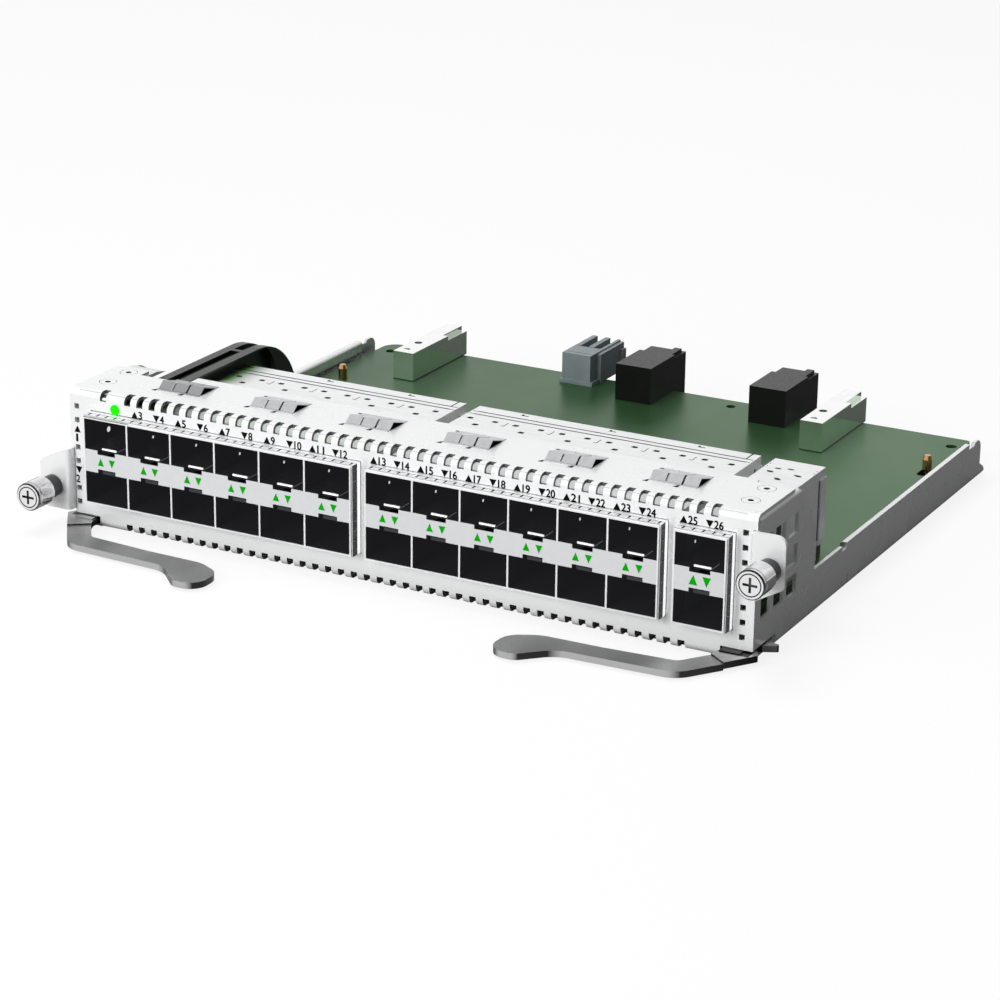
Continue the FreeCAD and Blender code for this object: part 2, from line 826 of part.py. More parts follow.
def port_connectors(cage):
    """Board connector behind each column: two card slots on one spine."""
    solids = []
    spine_front = divider_back + fit_gap
    low, high = port_floor + connector_floor_gap, port_ceiling - connector_top_gap
    lower_high, upper_low = band_low - lower_card_drop, band_high + upper_card_rise
    slot_back = connector_front + card_slot_depth
    foot_high = cage_rear_opening - part_gap
    for x in column_lefts(cage):
        x0 = x + connector_side_gap
        x1 = x + port_pitch - divider - connector_side_gap
        solid = joined([block(x0, x1, connector_front, spine_front, low, lower_high),
                        block(x0, x1, connector_front, spine_front, upper_low, high),
                        block(x0, x1, spine_front, connector_back, low, high),
                        block(x0, x1, connector_foot_front, connector_foot_back, board_top, foot_high)])
        slot_left = (x0 + x1 - card_slot_width) / 2
        slots = []
        for middle in ((low + lower_high) / 2, (upper_low + high) / 2):
            slot_low = middle - card_slot_height / 2
            slots.append(block(slot_left, slot_left + card_slot_width, connector_front - 1, slot_back,
                               slot_low, slot_low + card_slot_height))
        solids.append(solid.cut(slots))
    return solids


def screw_axis(right_hand):
    if right_hand:
        return panel_width + screw_offset, right_screw_z
    return -screw_offset, left_screw_z


def thumbscrew(right_hand):
    """Captive screw with a hollow knob, turned in one piece, and a cross recess."""
    x, z = screw_axis(right_hand)
    neck_front = ear_face + sheet + sleeve_swage + 0.1
    neck_back = neck_front + ring_thickness + 0.1
    ring_in, ring_out = knob_face_ring
    ring_floor = knob_front + knob_face_ring_depth
    groove_front, groove_back = knob_front + knob_groove[0], knob_front + knob_groove[1]
    groove_floor = knob_radius - knob_groove_depth
    corners = [(0, knob_front), (ring_in, knob_front), (ring_in, ring_floor), (ring_out, ring_floor),
               (ring_out, knob_front), (knob_radius - knob_edge, knob_front),
               (knob_radius, knob_front + knob_edge), (knob_radius, groove_front),
               (groove_floor, groove_front), (groove_floor, groove_back), (knob_radius, groove_back),
               (knob_radius, knob_back), (knob_hollow_radius, knob_back),
               (knob_hollow_radius, knob_hollow_front), (screw_radius, knob_hollow_front),
               (screw_radius, neck_front), (groove_radius, neck_front), (groove_radius, neck_back),
               (screw_radius, neck_back), (screw_radius, screw_tip), (0, screw_tip)]
    half, arm = recess_width / 2, recess_length / 2
    recess_back = knob_front + recess_depth
    cross = [block(x - half, x + half, knob_front - 1, recess_back, z - arm, z + arm),
             block(x - arm, x + arm, knob_front - 1, recess_back, z - half, z + half)]
    return turned_y(corners, x, z).cut(cross)


def screw_sleeve(right_hand):
    """Sleeve swaged into the ear; the knob slides over its front end."""
    x, z = screw_axis(right_hand)
    bore = screw_radius + running_gap
    back = ear_face + sheet
    return turned_y([(bore, sleeve_front), (sleeve_radius, sleeve_front), (sleeve_radius, ear_face),
                     (sleeve_neck_radius, ear_face), (sleeve_neck_radius, back), (sleeve_swage_radius, back),
                     (sleeve_swage_radius, back + sleeve_swage), (bore, back + sleeve_swage)], x, z)


def screw_ring(right_hand):
    """Ring in the screw's groove that keeps the screw in its sleeve."""
    x, z = screw_axis(right_hand)
    front = ear_face + sheet + sleeve_swage + ring_end_gap
    inner = groove_radius + running_gap
    return turned_y([(inner, front), (ring_radius, front), (ring_radius, front + ring_thickness),
                     (inner, front + ring_thickness)], x, z)


def lever():
    """Left-hand ejector lever: paddle and arm below, hub and claw one step higher."""
    step_inner, step_outer = lever_step_line
    arm_outline = (step_outer,) + lever_arm_front + lever_paddle_end + lever_arm_rear + (step_inner,)
    arm = prism_z(arm_outline, lever_low, lever_low + lever_thickness)
    leg_outline = (step_inner, step_outer) + lever_leg_outer + lever_leg_inner
    leg = prism_z(leg_outline, hub_low, hub_high)
    x, y = lever_pivot
    hub = rod_z(x, y, hub_radius, hub_low, hub_high)
    claw = prism_z(lever_claw, hub_low, hub_high)
    pad_left, pad_right, pad_front = lever_pad
    pad_high = corner_notch_height - lever_end_gap
    pad_back = y - hub_radius + lever_pad_overlap
    pad = block(pad_left, pad_right, pad_front, pad_back, hub_high - 0.1, pad_high)
    bore = rod_z(x, y, pivot_radius + fit_gap, 0, pad_high + 1)
    return joined([arm, leg, hub, claw, pad]).cut(bore)


def pivot_rivets():
    """Shouldered rivets: the lever turns on the shoulder, and the shank is set in the tray."""
    solids = []
    head_low = hub_high + lever_end_gap
    for x, y in both_sides(*lever_pivot):
        shank = rod_z(x, y, pivot_shank_radius, 0, sheet)
        shoulder = rod_z(x, y, pivot_radius, sheet, head_low)
        head = rod_z(x, y, pivot_head_radius, head_low, head_low + pivot_head_height)
        solids.append(joined([shank, shoulder, head.makeChamfer(pivot_head_chamfer, [head.Edges[0]])]))
    return solids


def main_board():
    """Circuit board with its screw holes, pin holes and the slot in front of the right pin."""
    board = prism_z([(board_left, board_front), (board_right, board_front),
                     (board_right, board_back, board_corner_right),
                     (board_left, board_back, board_corner_left)], board_low, board_top)
    low, high = board_low - 1, board_top + 1
    pin_hole = locating_pin_radius + fit_gap
    cuts = [rod_z(x, y, board_hole_radius, low, high) for x, y in board_rear_holes + board_screw_places]
    cuts += [rod_z(x, y, pin_hole, low, high) for x, y in pin_places + (board_small_hole,)]
    x, y = pin_places[1]
    cuts.append(block(x - pin_hole, x + pin_hole, pin_slot_front, y, low, high))
    cuts.append(rod_z(x, pin_slot_front, pin_hole, low, high))
    return board.cut(cuts)


def board_standoffs():
    solids = []
    radius = standoff_across / math.sqrt(3)
    for x, y in board_rear_holes + board_screw_places:
        corners = []
        for k in range(6):
            turn = math.radians(60 * k)
            corners.append((x + radius * math.cos(turn), y + radius * math.sin(turn)))
        solids.append(prism_z(corners, sheet, board_low).cut(rod_z(x, y, standoff_bore, 0, board_top)))
    return solids


def board_screws():
    solids = []
    for x, y in board_screw_places:
        shank = rod_z(x, y, standoff_bore - 0.02, sheet + 1, board_top)
        head = rod_z(x, y, screw_head_radius, board_top, board_top + screw_head_height)
        solids.append(joined([shank, head]))
    return solids


def locating_pins():
    """Pins with a long taper at the tip, pressed into the tray's floor and the board."""
    solids = []
    taper_low = locating_pin_top - pin_taper
    for x, y in pin_places:
        pin = rod_z(x, y, locating_pin_radius, sheet, taper_low)
        tip = Part.makeCone(locating_pin_radius, pin_tip_radius, pin_taper, V(x, y, taper_low))
        solids.append(joined([pin, tip]))
    return solids


def guide_block(left):
    """Milled block with the guide pin's bore, its screw's pocket and a cut corner."""
    top = board_top + guide_height
    right = left + guide_width
    body = block(left, right, guide_front, guide_back, board_top, top)
    bore_front = guide_back - guide_bore_depth
    bore_z = board_top + guide_bore_up
    bore = rod_y((left + right) / 2, bore_z, guide_bore_radius, bore_front, guide_back + 1)
    x, y = left + guide_screw_place[0], guide_front + guide_screw_place[1]
    screw_pocket = rod_z(x, y, guide_screw_radius, top - guide_screw_depth, top + 1)
    x, y = left + guide_mark_place[0], guide_front + guide_mark_place[1]
    mark = rod_z(x, y, guide_mark_radius, top - guide_mark_depth, top + 1)
    mark = mark.cut(block(left, right, guide_front, y - 0.3, top - 1, top + 2))
    x, y = left + guide_step_place[0], guide_front + guide_step_place[1]
    step = block(x, right + 1, y, guide_back + 1, top - guide_step_depth, top + 1)
    return body.cut([bore, screw_pocket, mark, step])


def signal_connector(left):
    """Backplane connector that hangs over the board's rear edge."""
    right = left + signal_width
    behind_board = board_back + part_gap
    side = [(signal_front, board_top), (signal_front, signal_top), (signal_top_back, signal_top),
            (signal_top_back, signal_shelf), (signal_back, signal_shelf), (signal_back, signal_low),
            (behind_board, signal_low), (behind_board, board_top)]
    body = prism_x(side, left, right)
    notch_width, notch_front = signal_left_notch
    ledge_width, ledge_front = signal_right_ledge
    far, high = signal_back + 1, signal_top + 1
    cuts = [block(left - 1, left + notch_width, notch_front, far, signal_shelf, high),
            block(right - ledge_width, right + 1, ledge_front, far, signal_shelf, high)]
    pitch = signal_width / signal_slot_count
    for k in range(signal_slot_count):
        x = left + (k + 0.5) * pitch - signal_slot_width / 2
        cuts.append(block(x, x + signal_slot_width, signal_back - signal_slot_depth, far,
                          signal_low + signal_slot_inset, signal_shelf - signal_slot_inset))
    tongue_right = right - ledge_width
    tongue = block(tongue_right - signal_tongue_width, tongue_right, signal_top_back - 1, signal_tongue_back,
                   signal_shelf, signal_top)
    return joined([body.cut(cuts), tongue])


def power_connector():
    """Grey connector: narrow front, wider ribbed rear with a ledge, and a foot on the board."""
    left, right = power_left, power_left + power_width
    wide = right + power_rear_extra
    front = block(left, right, power_front, power_rear_front, board_top, power_top)
    rear = block(left, wide, power_rear_front, power_back, board_top, power_top)
    foot_left, foot_right = left - power_foot[0], right + power_foot[1]
    foot_front = power_front - power_foot_front
    foot_high = board_top + power_foot_height
    foot = block(foot_left, foot_right, foot_front, power_rear_front, board_top, foot_high)
    flange_width, flange_front, flange_high = power_end_flange
    flange = block(wide, wide + flange_width, flange_front, power_back, board_top, flange_high)
    high, far = power_top + 1, power_back + 1
    cuts = [block(right, wide + 1, power_rear_front - 1, far, power_top - power_ledge_drop, high)]
    groove_left, groove_right = left + power_groove_margins[0], right - power_groove_margins[1]
    for groove_front, groove_back in (power_front_groove, power_rear_groove):
        cuts.append(block(groove_left, groove_right, groove_front, groove_back,
                          power_top - power_groove_depth, high))
    rib_front = power_rear_groove[1]
    for gap_left, gap_right in power_gaps:
        cuts.append(block(left + gap_left, left + gap_right, rib_front, far, power_rib_floor, high))
    return joined([front, rear, foot, flange]).cut(cuts)


def arch_outline(inner_radius, outer_radius, front):
    """Bar over the cage that turns down to the board in a quarter ring."""
    inner_y, outer_y = arch_turn_y + inner_radius, arch_turn_y + outer_radius
    low, top = arch_turn_z + inner_radius, arch_turn_z + outer_radius
    bar_low = max(low, cage_top)
    step_y = cage_back + cage_sheet + arch_foot_front
    corners = [(front, bar_low), (step_y, bar_low)]
    if bar_low > low:
        corners.append((step_y, low))
    return corners + [(inner_y, low, inner_radius), (inner_y, board_top), (outer_y, board_top),
                      (outer_y, top, outer_radius), (front, top)]


def arch_pocket(right):
    """Hollow in the frame's right side, under a thin top flange."""
    low, high = arch_turn_z, arch_top - arch_flange
    y, up = arch_pocket_centre
    inside, outside = right - arch_pocket_depth, right + 1
    front = block(inside, outside, arch_pocket_front, y, low, high)
    rear = rod_x(y, up, arch_pocket_radius, inside, outside)
    return front.fuse(rear.common(block(inside, outside, y - 1, y + 2 * arch_pocket_radius, low, high)))


def light_pipe_frame():
    """Black holder of the status light pipe: two rails, a web between them and a cross bar."""
    left, right = arch_left, arch_left + arch_width
    channel_left = left + arch_channel_left
    channel_right = channel_left + arch_channel_width
    frame = prism_x(arch_outline(arch_inner_radius, arch_outer_radius, arch_front), left, right)
    web_radius = cage_top + arch_web - arch_turn_z
    channel = prism_x(arch_outline(web_radius, arch_outer_radius + 1, arch_front - 1),
                      channel_left, channel_right)
    bar_front, bar_back = arch_bar
    bar = block(channel_left, channel_right, bar_front, bar_back, arch_top - arch_bar_thickness, arch_top)
    return joined([frame.cut([channel, arch_pocket(right)]), bar])


def status_light_pipe():
    """Lens in the panel and the square pipe that carries the light over the cage from the board."""
    half = status_pipe_side / 2
    run_x = arch_left + arch_channel_left + arch_channel_width / 2
    bend_front, bend_back = status_pipe_bend
    low = cage_top + arch_web + fit_gap
    plan = [(status_x - half, sheet), (status_x + half, sheet), (status_x + half, bend_front),
            (run_x + half, bend_back), (run_x + half, arch_turn_y), (run_x - half, arch_turn_y),
            (run_x - half, bend_back), (status_x - half, bend_front)]
    run = prism_z(plan, low, low + status_pipe_side)
    inner_radius = low - arch_turn_z
    section = arch_outline(inner_radius, inner_radius + status_pipe_side, arch_turn_y - 1)
    turn = prism_x(section, run_x - half, run_x + half)
    lens = rod_y(status_x, status_z, status_radius, -status_stand, sheet + status_lens_depth)
    return joined([run, turn, lens])


def save(node, solids):
    shape = Part.makeCompound(solids) if isinstance(solids, list) else solids
    shape.translate(origin * -1)
    shape.exportStep("parts/" + node + ".step")


def build_cages():
    for cage, columns in enumerate(cage_columns):
        name = "cage_" + str(cage + 1)
        save(name + "_shell", cage_shell(cage))
        save(name + "_rear_cover", cage_rear_cover(cage))
        save(name + "_centre_band", cage_centre_band(cage))
        save(name + "_light_pipes", cage_light_pipes(cage))
        save(name + "_finger_frame", cage_finger_frame(cage))
        save(name + "_connectors", port_connectors(cage))
        if columns > 1:
            save(name + "_dividers", cage_dividers(cage))


def build_board():
    save("main_board", main_board())
    save("board_standoffs", board_standoffs())
    save("board_screws", board_screws())
    save("locating_pins", locating_pins())
    for side, guide_left, signal_left in zip(("left", "right"), guide_left_edges, signal_left_edges):
        save("guide_block_" + side, guide_block(guide_left))
        save("signal_connector_" + side, signal_connector(signal_left))
    save("power_connector", power_connector())


def build():
    os.makedirs("parts", exist_ok=True)
    save("front_panel", front_panel())
    save("base_tray", base_tray())
    save("cover_rivets", cover_rivets())
    save("grounding_clips", grounding_clips())
    build_cages()
    for side, right_hand in (("left", False), ("right", True)):
        save("thumbscrew_" + side, thumbscrew(right_hand))
        save("screw_sleeve_" + side, screw_sleeve(right_hand))
        save("screw_ring_" + side, screw_ring(right_hand))
    save("lever_left", lever())
    save("lever_right", mirrored(lever()))
    save("pivot_rivets", pivot_rivets())
    build_board()
    save("light_pipe_frame", light_pipe_frame())
    save("status_light_pipe", status_light_pipe())


build()
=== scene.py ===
import math

import bmesh
import bpy
from mathutils import Matrix, Vector


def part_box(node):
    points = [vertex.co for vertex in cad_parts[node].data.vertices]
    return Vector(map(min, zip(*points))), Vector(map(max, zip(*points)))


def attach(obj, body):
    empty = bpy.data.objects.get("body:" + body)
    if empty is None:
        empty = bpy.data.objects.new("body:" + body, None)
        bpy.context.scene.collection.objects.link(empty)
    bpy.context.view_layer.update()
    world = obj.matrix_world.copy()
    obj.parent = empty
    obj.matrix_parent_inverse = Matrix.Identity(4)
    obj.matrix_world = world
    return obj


bl_info = {
    "name": "Switch line card",
    "version": (1, 0, 0),
    "blender": (4, 5, 0),
    "location": "3D View > Sidebar > Line card",
    "description": "Finishes, printing, small fittings and studio for a switch line card",
    "category": "Object",
}

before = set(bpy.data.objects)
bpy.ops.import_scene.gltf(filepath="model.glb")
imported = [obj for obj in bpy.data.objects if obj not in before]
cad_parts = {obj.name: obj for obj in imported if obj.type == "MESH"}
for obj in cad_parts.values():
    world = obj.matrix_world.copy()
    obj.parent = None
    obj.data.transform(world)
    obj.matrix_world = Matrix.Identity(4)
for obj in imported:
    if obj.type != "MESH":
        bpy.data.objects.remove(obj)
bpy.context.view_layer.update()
PANEL_LOW, PANEL_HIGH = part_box("front_panel")
PANEL_FACE = PANEL_LOW.y
CARD = "card"
MM = 0.001
BLACK = (0, 0, 0)

# Millimetres from here on. X and Y start at the panel's lower left front corner, Z at the tray's underside.
# Cages
CAGES = (1, 2, 3)
COLUMNS = {1: 6, 2: 6, 3: 1}
PORT_PITCH = 14.25
PORT_WIDTH = 13.75
CAGE_WALL = 0.4
CAGE_TOP = 33.77
BAND_HIGH = 24.58
BAND_LOW = 18.09
BAND_SHEET = 0.51
LAMP_FRONT = 0.4
LIP_FRONT, LIP_BACK = 0.9, 1.5
LIP_SHEET = 0.42

# Spring fingers round the cage mouths
STRIP_BACK = -1.6
STRIP_LINE = 0.25
FINGER_EDGE = -3.85
FINGER_SLOT_FRONT = -3.35
FINGER_GAP_FRONT = -3.4
FINGER_PITCH = 2.8
FINGER_GAP = 0.5
FINGER_MARGIN = 0.99
FRAME_WALL = 0.7

# Cover, its rivets and its clips
COVER_TOP = 39.8
RIVETS = ((6.3, 9.55), (6.3, 19.6), (201.9, 9.55), (201.9, 19.6))
RIVET_BORE = 0.98
RIVET_SEAT = (2.05, 2.55)
CLIP_COUNT = 6
CLIP_FIRST = 22.2
CLIP_PITCH = 30.15
CLIP_LEFTS = tuple(CLIP_FIRST + CLIP_PITCH * k for k in range(CLIP_COUNT))
CLIP_WIDTH = 13.55
CLIP_FINGER = 4.15
CLIP_GAP = 0.2
COVER_MARK_LOW, COVER_MARK_HIGH = 0.01, 0.03

# Painted shade under the arch of one clip, which shows beside and through it, and thin dark slits behind it:
# left, front, right and back, and the corners of two slanted ends.
# Their X starts at the clip's left side.
CLIP_SHADE_ROWS = (
    (2 * CLIP_FINGER, 11.0, CLIP_WIDTH - 0.05, 19.0),
    (-1.4, 19.95, 1.0, 20.6),
    (1.0, 20.0, 3.7, 20.3),
    (8.3, 19.95, 10.2, 20.6),
)
CLIP_ENDS = (((-1.3, 9.3), (0.1, 9.3), (0.1, 11.6)), ((7.4, 9.0), (8.9, 9.0), (8.9, 11.4)))

# Zones of painted shade and painted light, each between two corners: the slot walls in the folds, the upper
# bend, the lamp-lit wall and the levers under the panel
FOLDS = ((3, 0.03, -1), (205, 7, 41))
SLOT_ENDS = ((3, 1.5, -1), (205, 7, 41))
SLOT_SILLS = ((3, 0.03, 0.5), (205, 1.1, 39))
BEND_SHADE_ZONE = ((3, 0.72, 39), (205, 0.95, 40))
LAMP_LIT_WALL = ((0.5, 32, 32), (1.2, 37.3, 38.5))
SHADED_LEVERS = (((0, -1.2, -5), (150, 30, 9)), ((150, -3.0, -5), (208.2, 30, 9)))

# Depths behind the panel's face between which a finish, painted light and painted shade change
TRAY_REAR = 60
LENS_BACK = 0.3
UNDER_COVER = (2.7, 20.4)
BEHIND_VENTS = (2.7, 30)
CAGE_GROOVE = (51.9, 52.6)
LAMP_GLOW_FADE = (30, 44)

# Places across the panel between which painted light and painted shade change
FIRST_SLOTS_FADE = (22, 37)
ARCH_SHADE_FADE = (21.6, 22.9)
LAMP_GLOW_REACH = 31.5

# How far a mark lies over its surface, and how far a finish reaches below a skin
MARK_LOW, MARK_HIGH = 0.005, 0.02
SKIN = 0.03

# Heights between which the tray's inner wall is bare, and how far in it starts
BARE_WALL = (1.5, 12.9)
BARE_WALL_INSET = 0.3

# Marks on the cage tops: left, front, right and back. X starts inside the cage, the column or the hook.
HOOK_LEFTS = (13.7, 40.75, 67.5)
HOOK = ((0.0, 57.0, 2.2, 57.45), (0.0, 57.0, 0.6, 58.2))
DARK_SCORES = ((1.6, 54.25, 82.9, 54.7), (82.7, 54.3, 83.1, 59.6))
GREY_SCORES = ((1.6, 51.75, 83.9, 52.15),)
COLUMN_SCORES = ((12.9, 46.15, 14.0, 46.45), (13.7, 46.2, 13.97, 49.2))
TOP_HOLES = ((2.35, 48.1), (6.35, 43.5), (10.1, 48.1))
LAST_CAGE_HOLES = ((190.6, 48.3), (194.7, 52.5), (194.8, 43.4), (198.6, 48.3), (191.4, 51.6))
HOLE_RADIUS = 0.95
TOP_SHEET = (51.0, 55.2)
TOP_SHEET_THICKNESS = 0.01

# Painted glints inside the upper ports: a spot on the left wall and a line beside the latch. A glint is its
# depth, its height and its radius; a glint line is its left, front, right and back.
GLINT = (7.8, 26.7, 0.4)
FIRST_GLINT = (6.8, 26.9, 0.8)
GLINT_LINE = ((9.75, -3.2, 9.95, 1.2),)
GLINT_LINE_HEIGHT = 0.05

# Thumbscrew knob: where its painted shade and painted dark reflection lie
CROSS_RADIUS = 2.7
FACE_RING_RADIUS = 3.3
RIM_DEPTH = 0.9
RECESS_DEPTHS = (0.1, 1.6)

# Printed labels. A side label is its number, the triangle's middle and base, and the digits' left and base.
SIDE_LABELS = ((1, 2.28, 27.0, 1.35, 24.35), (2, 2.35, 14.97, 1.35, 12.25))
LABEL_FIRSTS = {1: 21.66, 2: 97.78, 3: 187.95}
LABEL_PITCH = 14.3
LABEL_PAIR = 7.15
LABEL_BASE = 34.2
DIGITS_AFTER = 1.3

# Studio, in metres; the camera's sensor in millimetres
SENSOR_WIDTH = 36
VIEW_END = 50
LAMP_SIZE = 0.9
FRONT_LAMP_PLACE = (-0.35, -1.30, 0.45)
TOP_LAMP_PLACE = (-0.35, -0.10, 1.5)
FLOOR_HALF_SIZE = 6.0
FLOOR_DROP = 0.0002
FLOOR_FAR = (0.35, 0.60)
FLOOR_FRONT = (-0.10, -0.085)
FLOOR_SIDE = (0.18, 0.22)
CEILING_RISE = (0.45, 0.85)
DARK_SIDE_TURN = (0.30, 0.65)

# How squarely a face points along an axis, from 0 to 1
TURNED = 0.5
STEEP = 0.7
SQUARE = 0.9

# How much of a noise's range a finish uses
SOFT = (0.3, 0.7)
CRISP = (0.35, 0.65)
CLOUDY = (0.38, 0.62)
SPECKLED = (0.4, 0.7)


def colour_prop(name, description, default):
    return bpy.props.FloatVectorProperty(
        name=name, description=description, subtype="COLOR", size=3, min=0.0, max=1.0, default=default
    )


def length_prop(name, description, default):
    return bpy.props.FloatProperty(
        name=name, description=description, subtype="DISTANCE", unit="LENGTH", min=0.0, default=default
    )


class LineCardColours(bpy.types.PropertyGroup):
    coat: colour_prop("Sheet coat", "Satin coat of the panel and the tray", (0.86, 0.865, 0.87))
    # Painted shade: the dark grey of the slot walls in the panel's folds, which are the same coat lying in
    # shade
    cut_edge: colour_prop("Cut edge", "Cut edges in the slots of the folds", (0.15, 0.152, 0.156))
    # Painted shade: a grey line along the panel's upper bend
    bend_line: colour_prop("Bend line", "Line along the panel's upper bend", (0.55, 0.55, 0.555))
    collar_light: colour_prop("Collar light", "Light on the sides of the cages' collars", (0.60, 0.60, 0.605))
    lit_wall: colour_prop("Lit wall", "Green light on the tray's left wall", (0.04, 0.20, 0.02))
    plate: colour_prop("Cage plate", "Tin plate of the transceiver cages", (0.88, 0.885, 0.89))
    vent_shade: colour_prop("Vent shade", "Side of the last cage behind the vents", (0.035, 0.06, 0.04))
    slot_light: colour_prop("Slot light", "Light on the cage tops under the slots", (0.22, 0.22, 0.22))
    # Painted shade, tinted by the green lamp light, on the cage top under the first slots
    first_slots: colour_prop("First slots", "Cage top under the first slots", (0.002, 0.02, 0.001))
    first_light: colour_prop("First slots' light", "Light under the first slots", (0.001, 0.010, 0.001))
    next_light: colour_prop("Next slots' light", "Light under the slots after them", (0.18, 0.21, 0.18))
    top_glow: colour_prop("Top glow", "Green light on the cage top beside the arch", (0.035, 0.16, 0.008))
    arch_shade: colour_prop("Arch shade", "Shade of the arch on the cage top", (0.02, 0.028, 0.02))
    band: colour_prop("Cage band", "Plain plate between the rows of ports", (0.70, 0.71, 0.72))
    # Painted highlight: the near-white of the upper latch lips
    lip: colour_prop("Latch lip", "Upper latch lips of the ports", (0.95, 0.95, 0.95))
    lip_light: colour_prop("Latch lip light", "Light on the upper latch lips", (0.25, 0.25, 0.25))
    lip_shade: colour_prop("Shaded latch lip", "Lower latch lips of the ports", (0.035, 0.035, 0.036))
    finger: colour_prop("Fingers", "Spring fingers round the cage mouths", (0.78, 0.78, 0.79))
    finger_side: colour_prop("Finger sides", "Shaded side fingers of the cages", (0.055, 0.056, 0.058))
    clip: colour_prop("Grounding clips", "Spring clips on the cover", (0.64, 0.65, 0.66))
    clip_gap: colour_prop("Clip gap", "Light in the first gap of each clip", (0.55, 0.57, 0.60))
    # Painted shade: near-black for the inside of the ports, which is plate in shade, and for its faint glow;
    # it also colours the connectors, the dark marks and the other painted shade
    inside: colour_prop("Port inside", "Black lining of the ports", (0.009, 0.009, 0.010))
    score: colour_prop("Score", "Scored lines of the cages", (0.10, 0.10, 0.10))
    lamp: colour_prop("Port lamp", "Arrow-shaped light pipes", (0.0, 0.33, 0.0))
    status: colour_prop("Status lamp", "Lens of the status light", (0.015, 0.92, 0.0))
    pipe_side: colour_prop("Pipe side", "Unlit sides of the light pipes", (0.006, 0.016, 0.006))
    black: colour_prop("Black plastic", "Connectors and arch", (0.006, 0.006, 0.006))
    grey: colour_prop("Grey plastic", "Power connector", (0.215, 0.255, 0.27))
    lever: colour_prop("Lever", "Blasted zinc of the ejector levers", (0.62, 0.62, 0.625))
    # Painted shade: the dark of the levers' sides
    lever_edge: colour_prop("Lever edge", "Dark die-cut edges of the levers", (0.022, 0.022, 0.023))
    chrome: colour_prop("Thumbscrew", "Satin chrome of the thumbscrews", (0.80, 0.80, 0.81))
    sleeve: colour_prop("Screw sleeve", "Dark sleeves of the thumbscrews", (0.08, 0.08, 0.082))
    board: colour_prop("Board", "Solder mask of the circuit board", (0.052, 0.138, 0.052))
    board_edge: colour_prop("Board edge", "Cut edge of the circuit board", (0.03, 0.07, 0.03))
    brass: colour_prop("Brass", "Locating pins", (0.60, 0.36, 0.15))
    guide: colour_prop("Guide block", "Milled tops of the guide blocks", (0.95, 0.95, 0.95))
    # Painted reflection: the board's green on the sides of the guide blocks
    guide_side: colour_prop("Guide side", "Sides of the guide blocks above the board", (0.66, 0.80, 0.66))
    guide_foot: colour_prop("Guide foot", "Shaded feet of the guide blocks", (0.10, 0.17, 0.10))
    ink: colour_prop("Ink", "Printed numbers and triangles", (0.002, 0.002, 0.002))


class LineCardSizes(bpy.types.PropertyGroup):
    number_height: length_prop("Number height", "Height of the printed port numbers", 2.12 * MM)
    number_width: length_prop("Digit width", "Advance of one printed digit", 1.28 * MM)
    digit_gap: length_prop("Digit gap", "How much narrower a number is than its digits' advance", 0.12 * MM)
    lone_one: length_prop("Lone one", "How much narrower the number 1 is", 0.6 * MM)
    leading_one: length_prop("Leading one", "How much narrower a number that starts with 1 is", 0.35 * MM)
    stroke: length_prop("Stroke", "How far the digits are drawn out to each side", 0.085 * MM)
    triangle_side: length_prop("Triangle width", "Width of the printed triangles", 2.15 * MM)
    triangle_height: length_prop("Triangle height", "Height of the printed triangles", 1.98 * MM)
    ink_thickness: length_prop("Ink thickness", "How far the print stands off the panel", 0.03 * MM)


class LineCardStudio(bpy.types.PropertyGroup):
    azimuth: bpy.props.FloatProperty(
        name="Azimuth", description="Camera direction about the vertical", subtype="ANGLE", unit="ROTATION",
        default=math.radians(28.015),
    )
    elevation: bpy.props.FloatProperty(
        name="Elevation", description="Camera height above the horizon", subtype="ANGLE", unit="ROTATION",
        default=math.radians(19.672),
    )
    roll: bpy.props.FloatProperty(
        name="Roll", description="Camera tilt about its line of sight", subtype="ANGLE", unit="ROTATION",
        default=math.radians(0.706),
    )
    eye: bpy.props.FloatVectorProperty(
        name="Camera place", description="Where the camera stands", subtype="TRANSLATION", unit="LENGTH",
        size=3, default=(0.38535, -0.75024, 0.30015),
    )
    lens: bpy.props.FloatProperty(
        name="Lens", description="Focal length in mm on a 36 mm square sensor", min=10.0, default=111.26
    )
    front_power: bpy.props.FloatProperty(
        name="Front lamp", description="Power of the large lamp in front", unit="POWER", min=0.0, default=15.9
    )
    top_power: bpy.props.FloatProperty(
        name="Top lamp", description="Power of the lamp overhead", unit="POWER", min=0.0, default=13.9
    )
    world_light: bpy.props.FloatProperty(
        name="World light", description="Strength of the even light from all round", min=0.0, default=0.245
    )
    zenith: bpy.props.FloatProperty(
        name="Zenith", description="How bright the ceiling looks in a reflection", min=0.0, default=0.55
    )
    dark_side: bpy.props.FloatProperty(
        name="Dark side", description="How bright the right side looks in a reflection", min=0.0, default=0.10
    )
    floor_colour: colour_prop("Floor", "Pale floor under the card", (0.13, 0.13, 0.13))
    floor_white: bpy.props.FloatProperty(
        name="Floor white", description="What lifts the floor to the backdrop's white", min=0.0, default=0.86
    )


def row_point(x, y, z):
    """A point measured from the panel's lower left front corner, in millimetres, in the row frame."""
    return Vector((PANEL_LOW.x + x * MM, PANEL_FACE + y * MM, z * MM))


def shade(colour, factor):
    return tuple(min(1.0, part * factor) for part in colour)


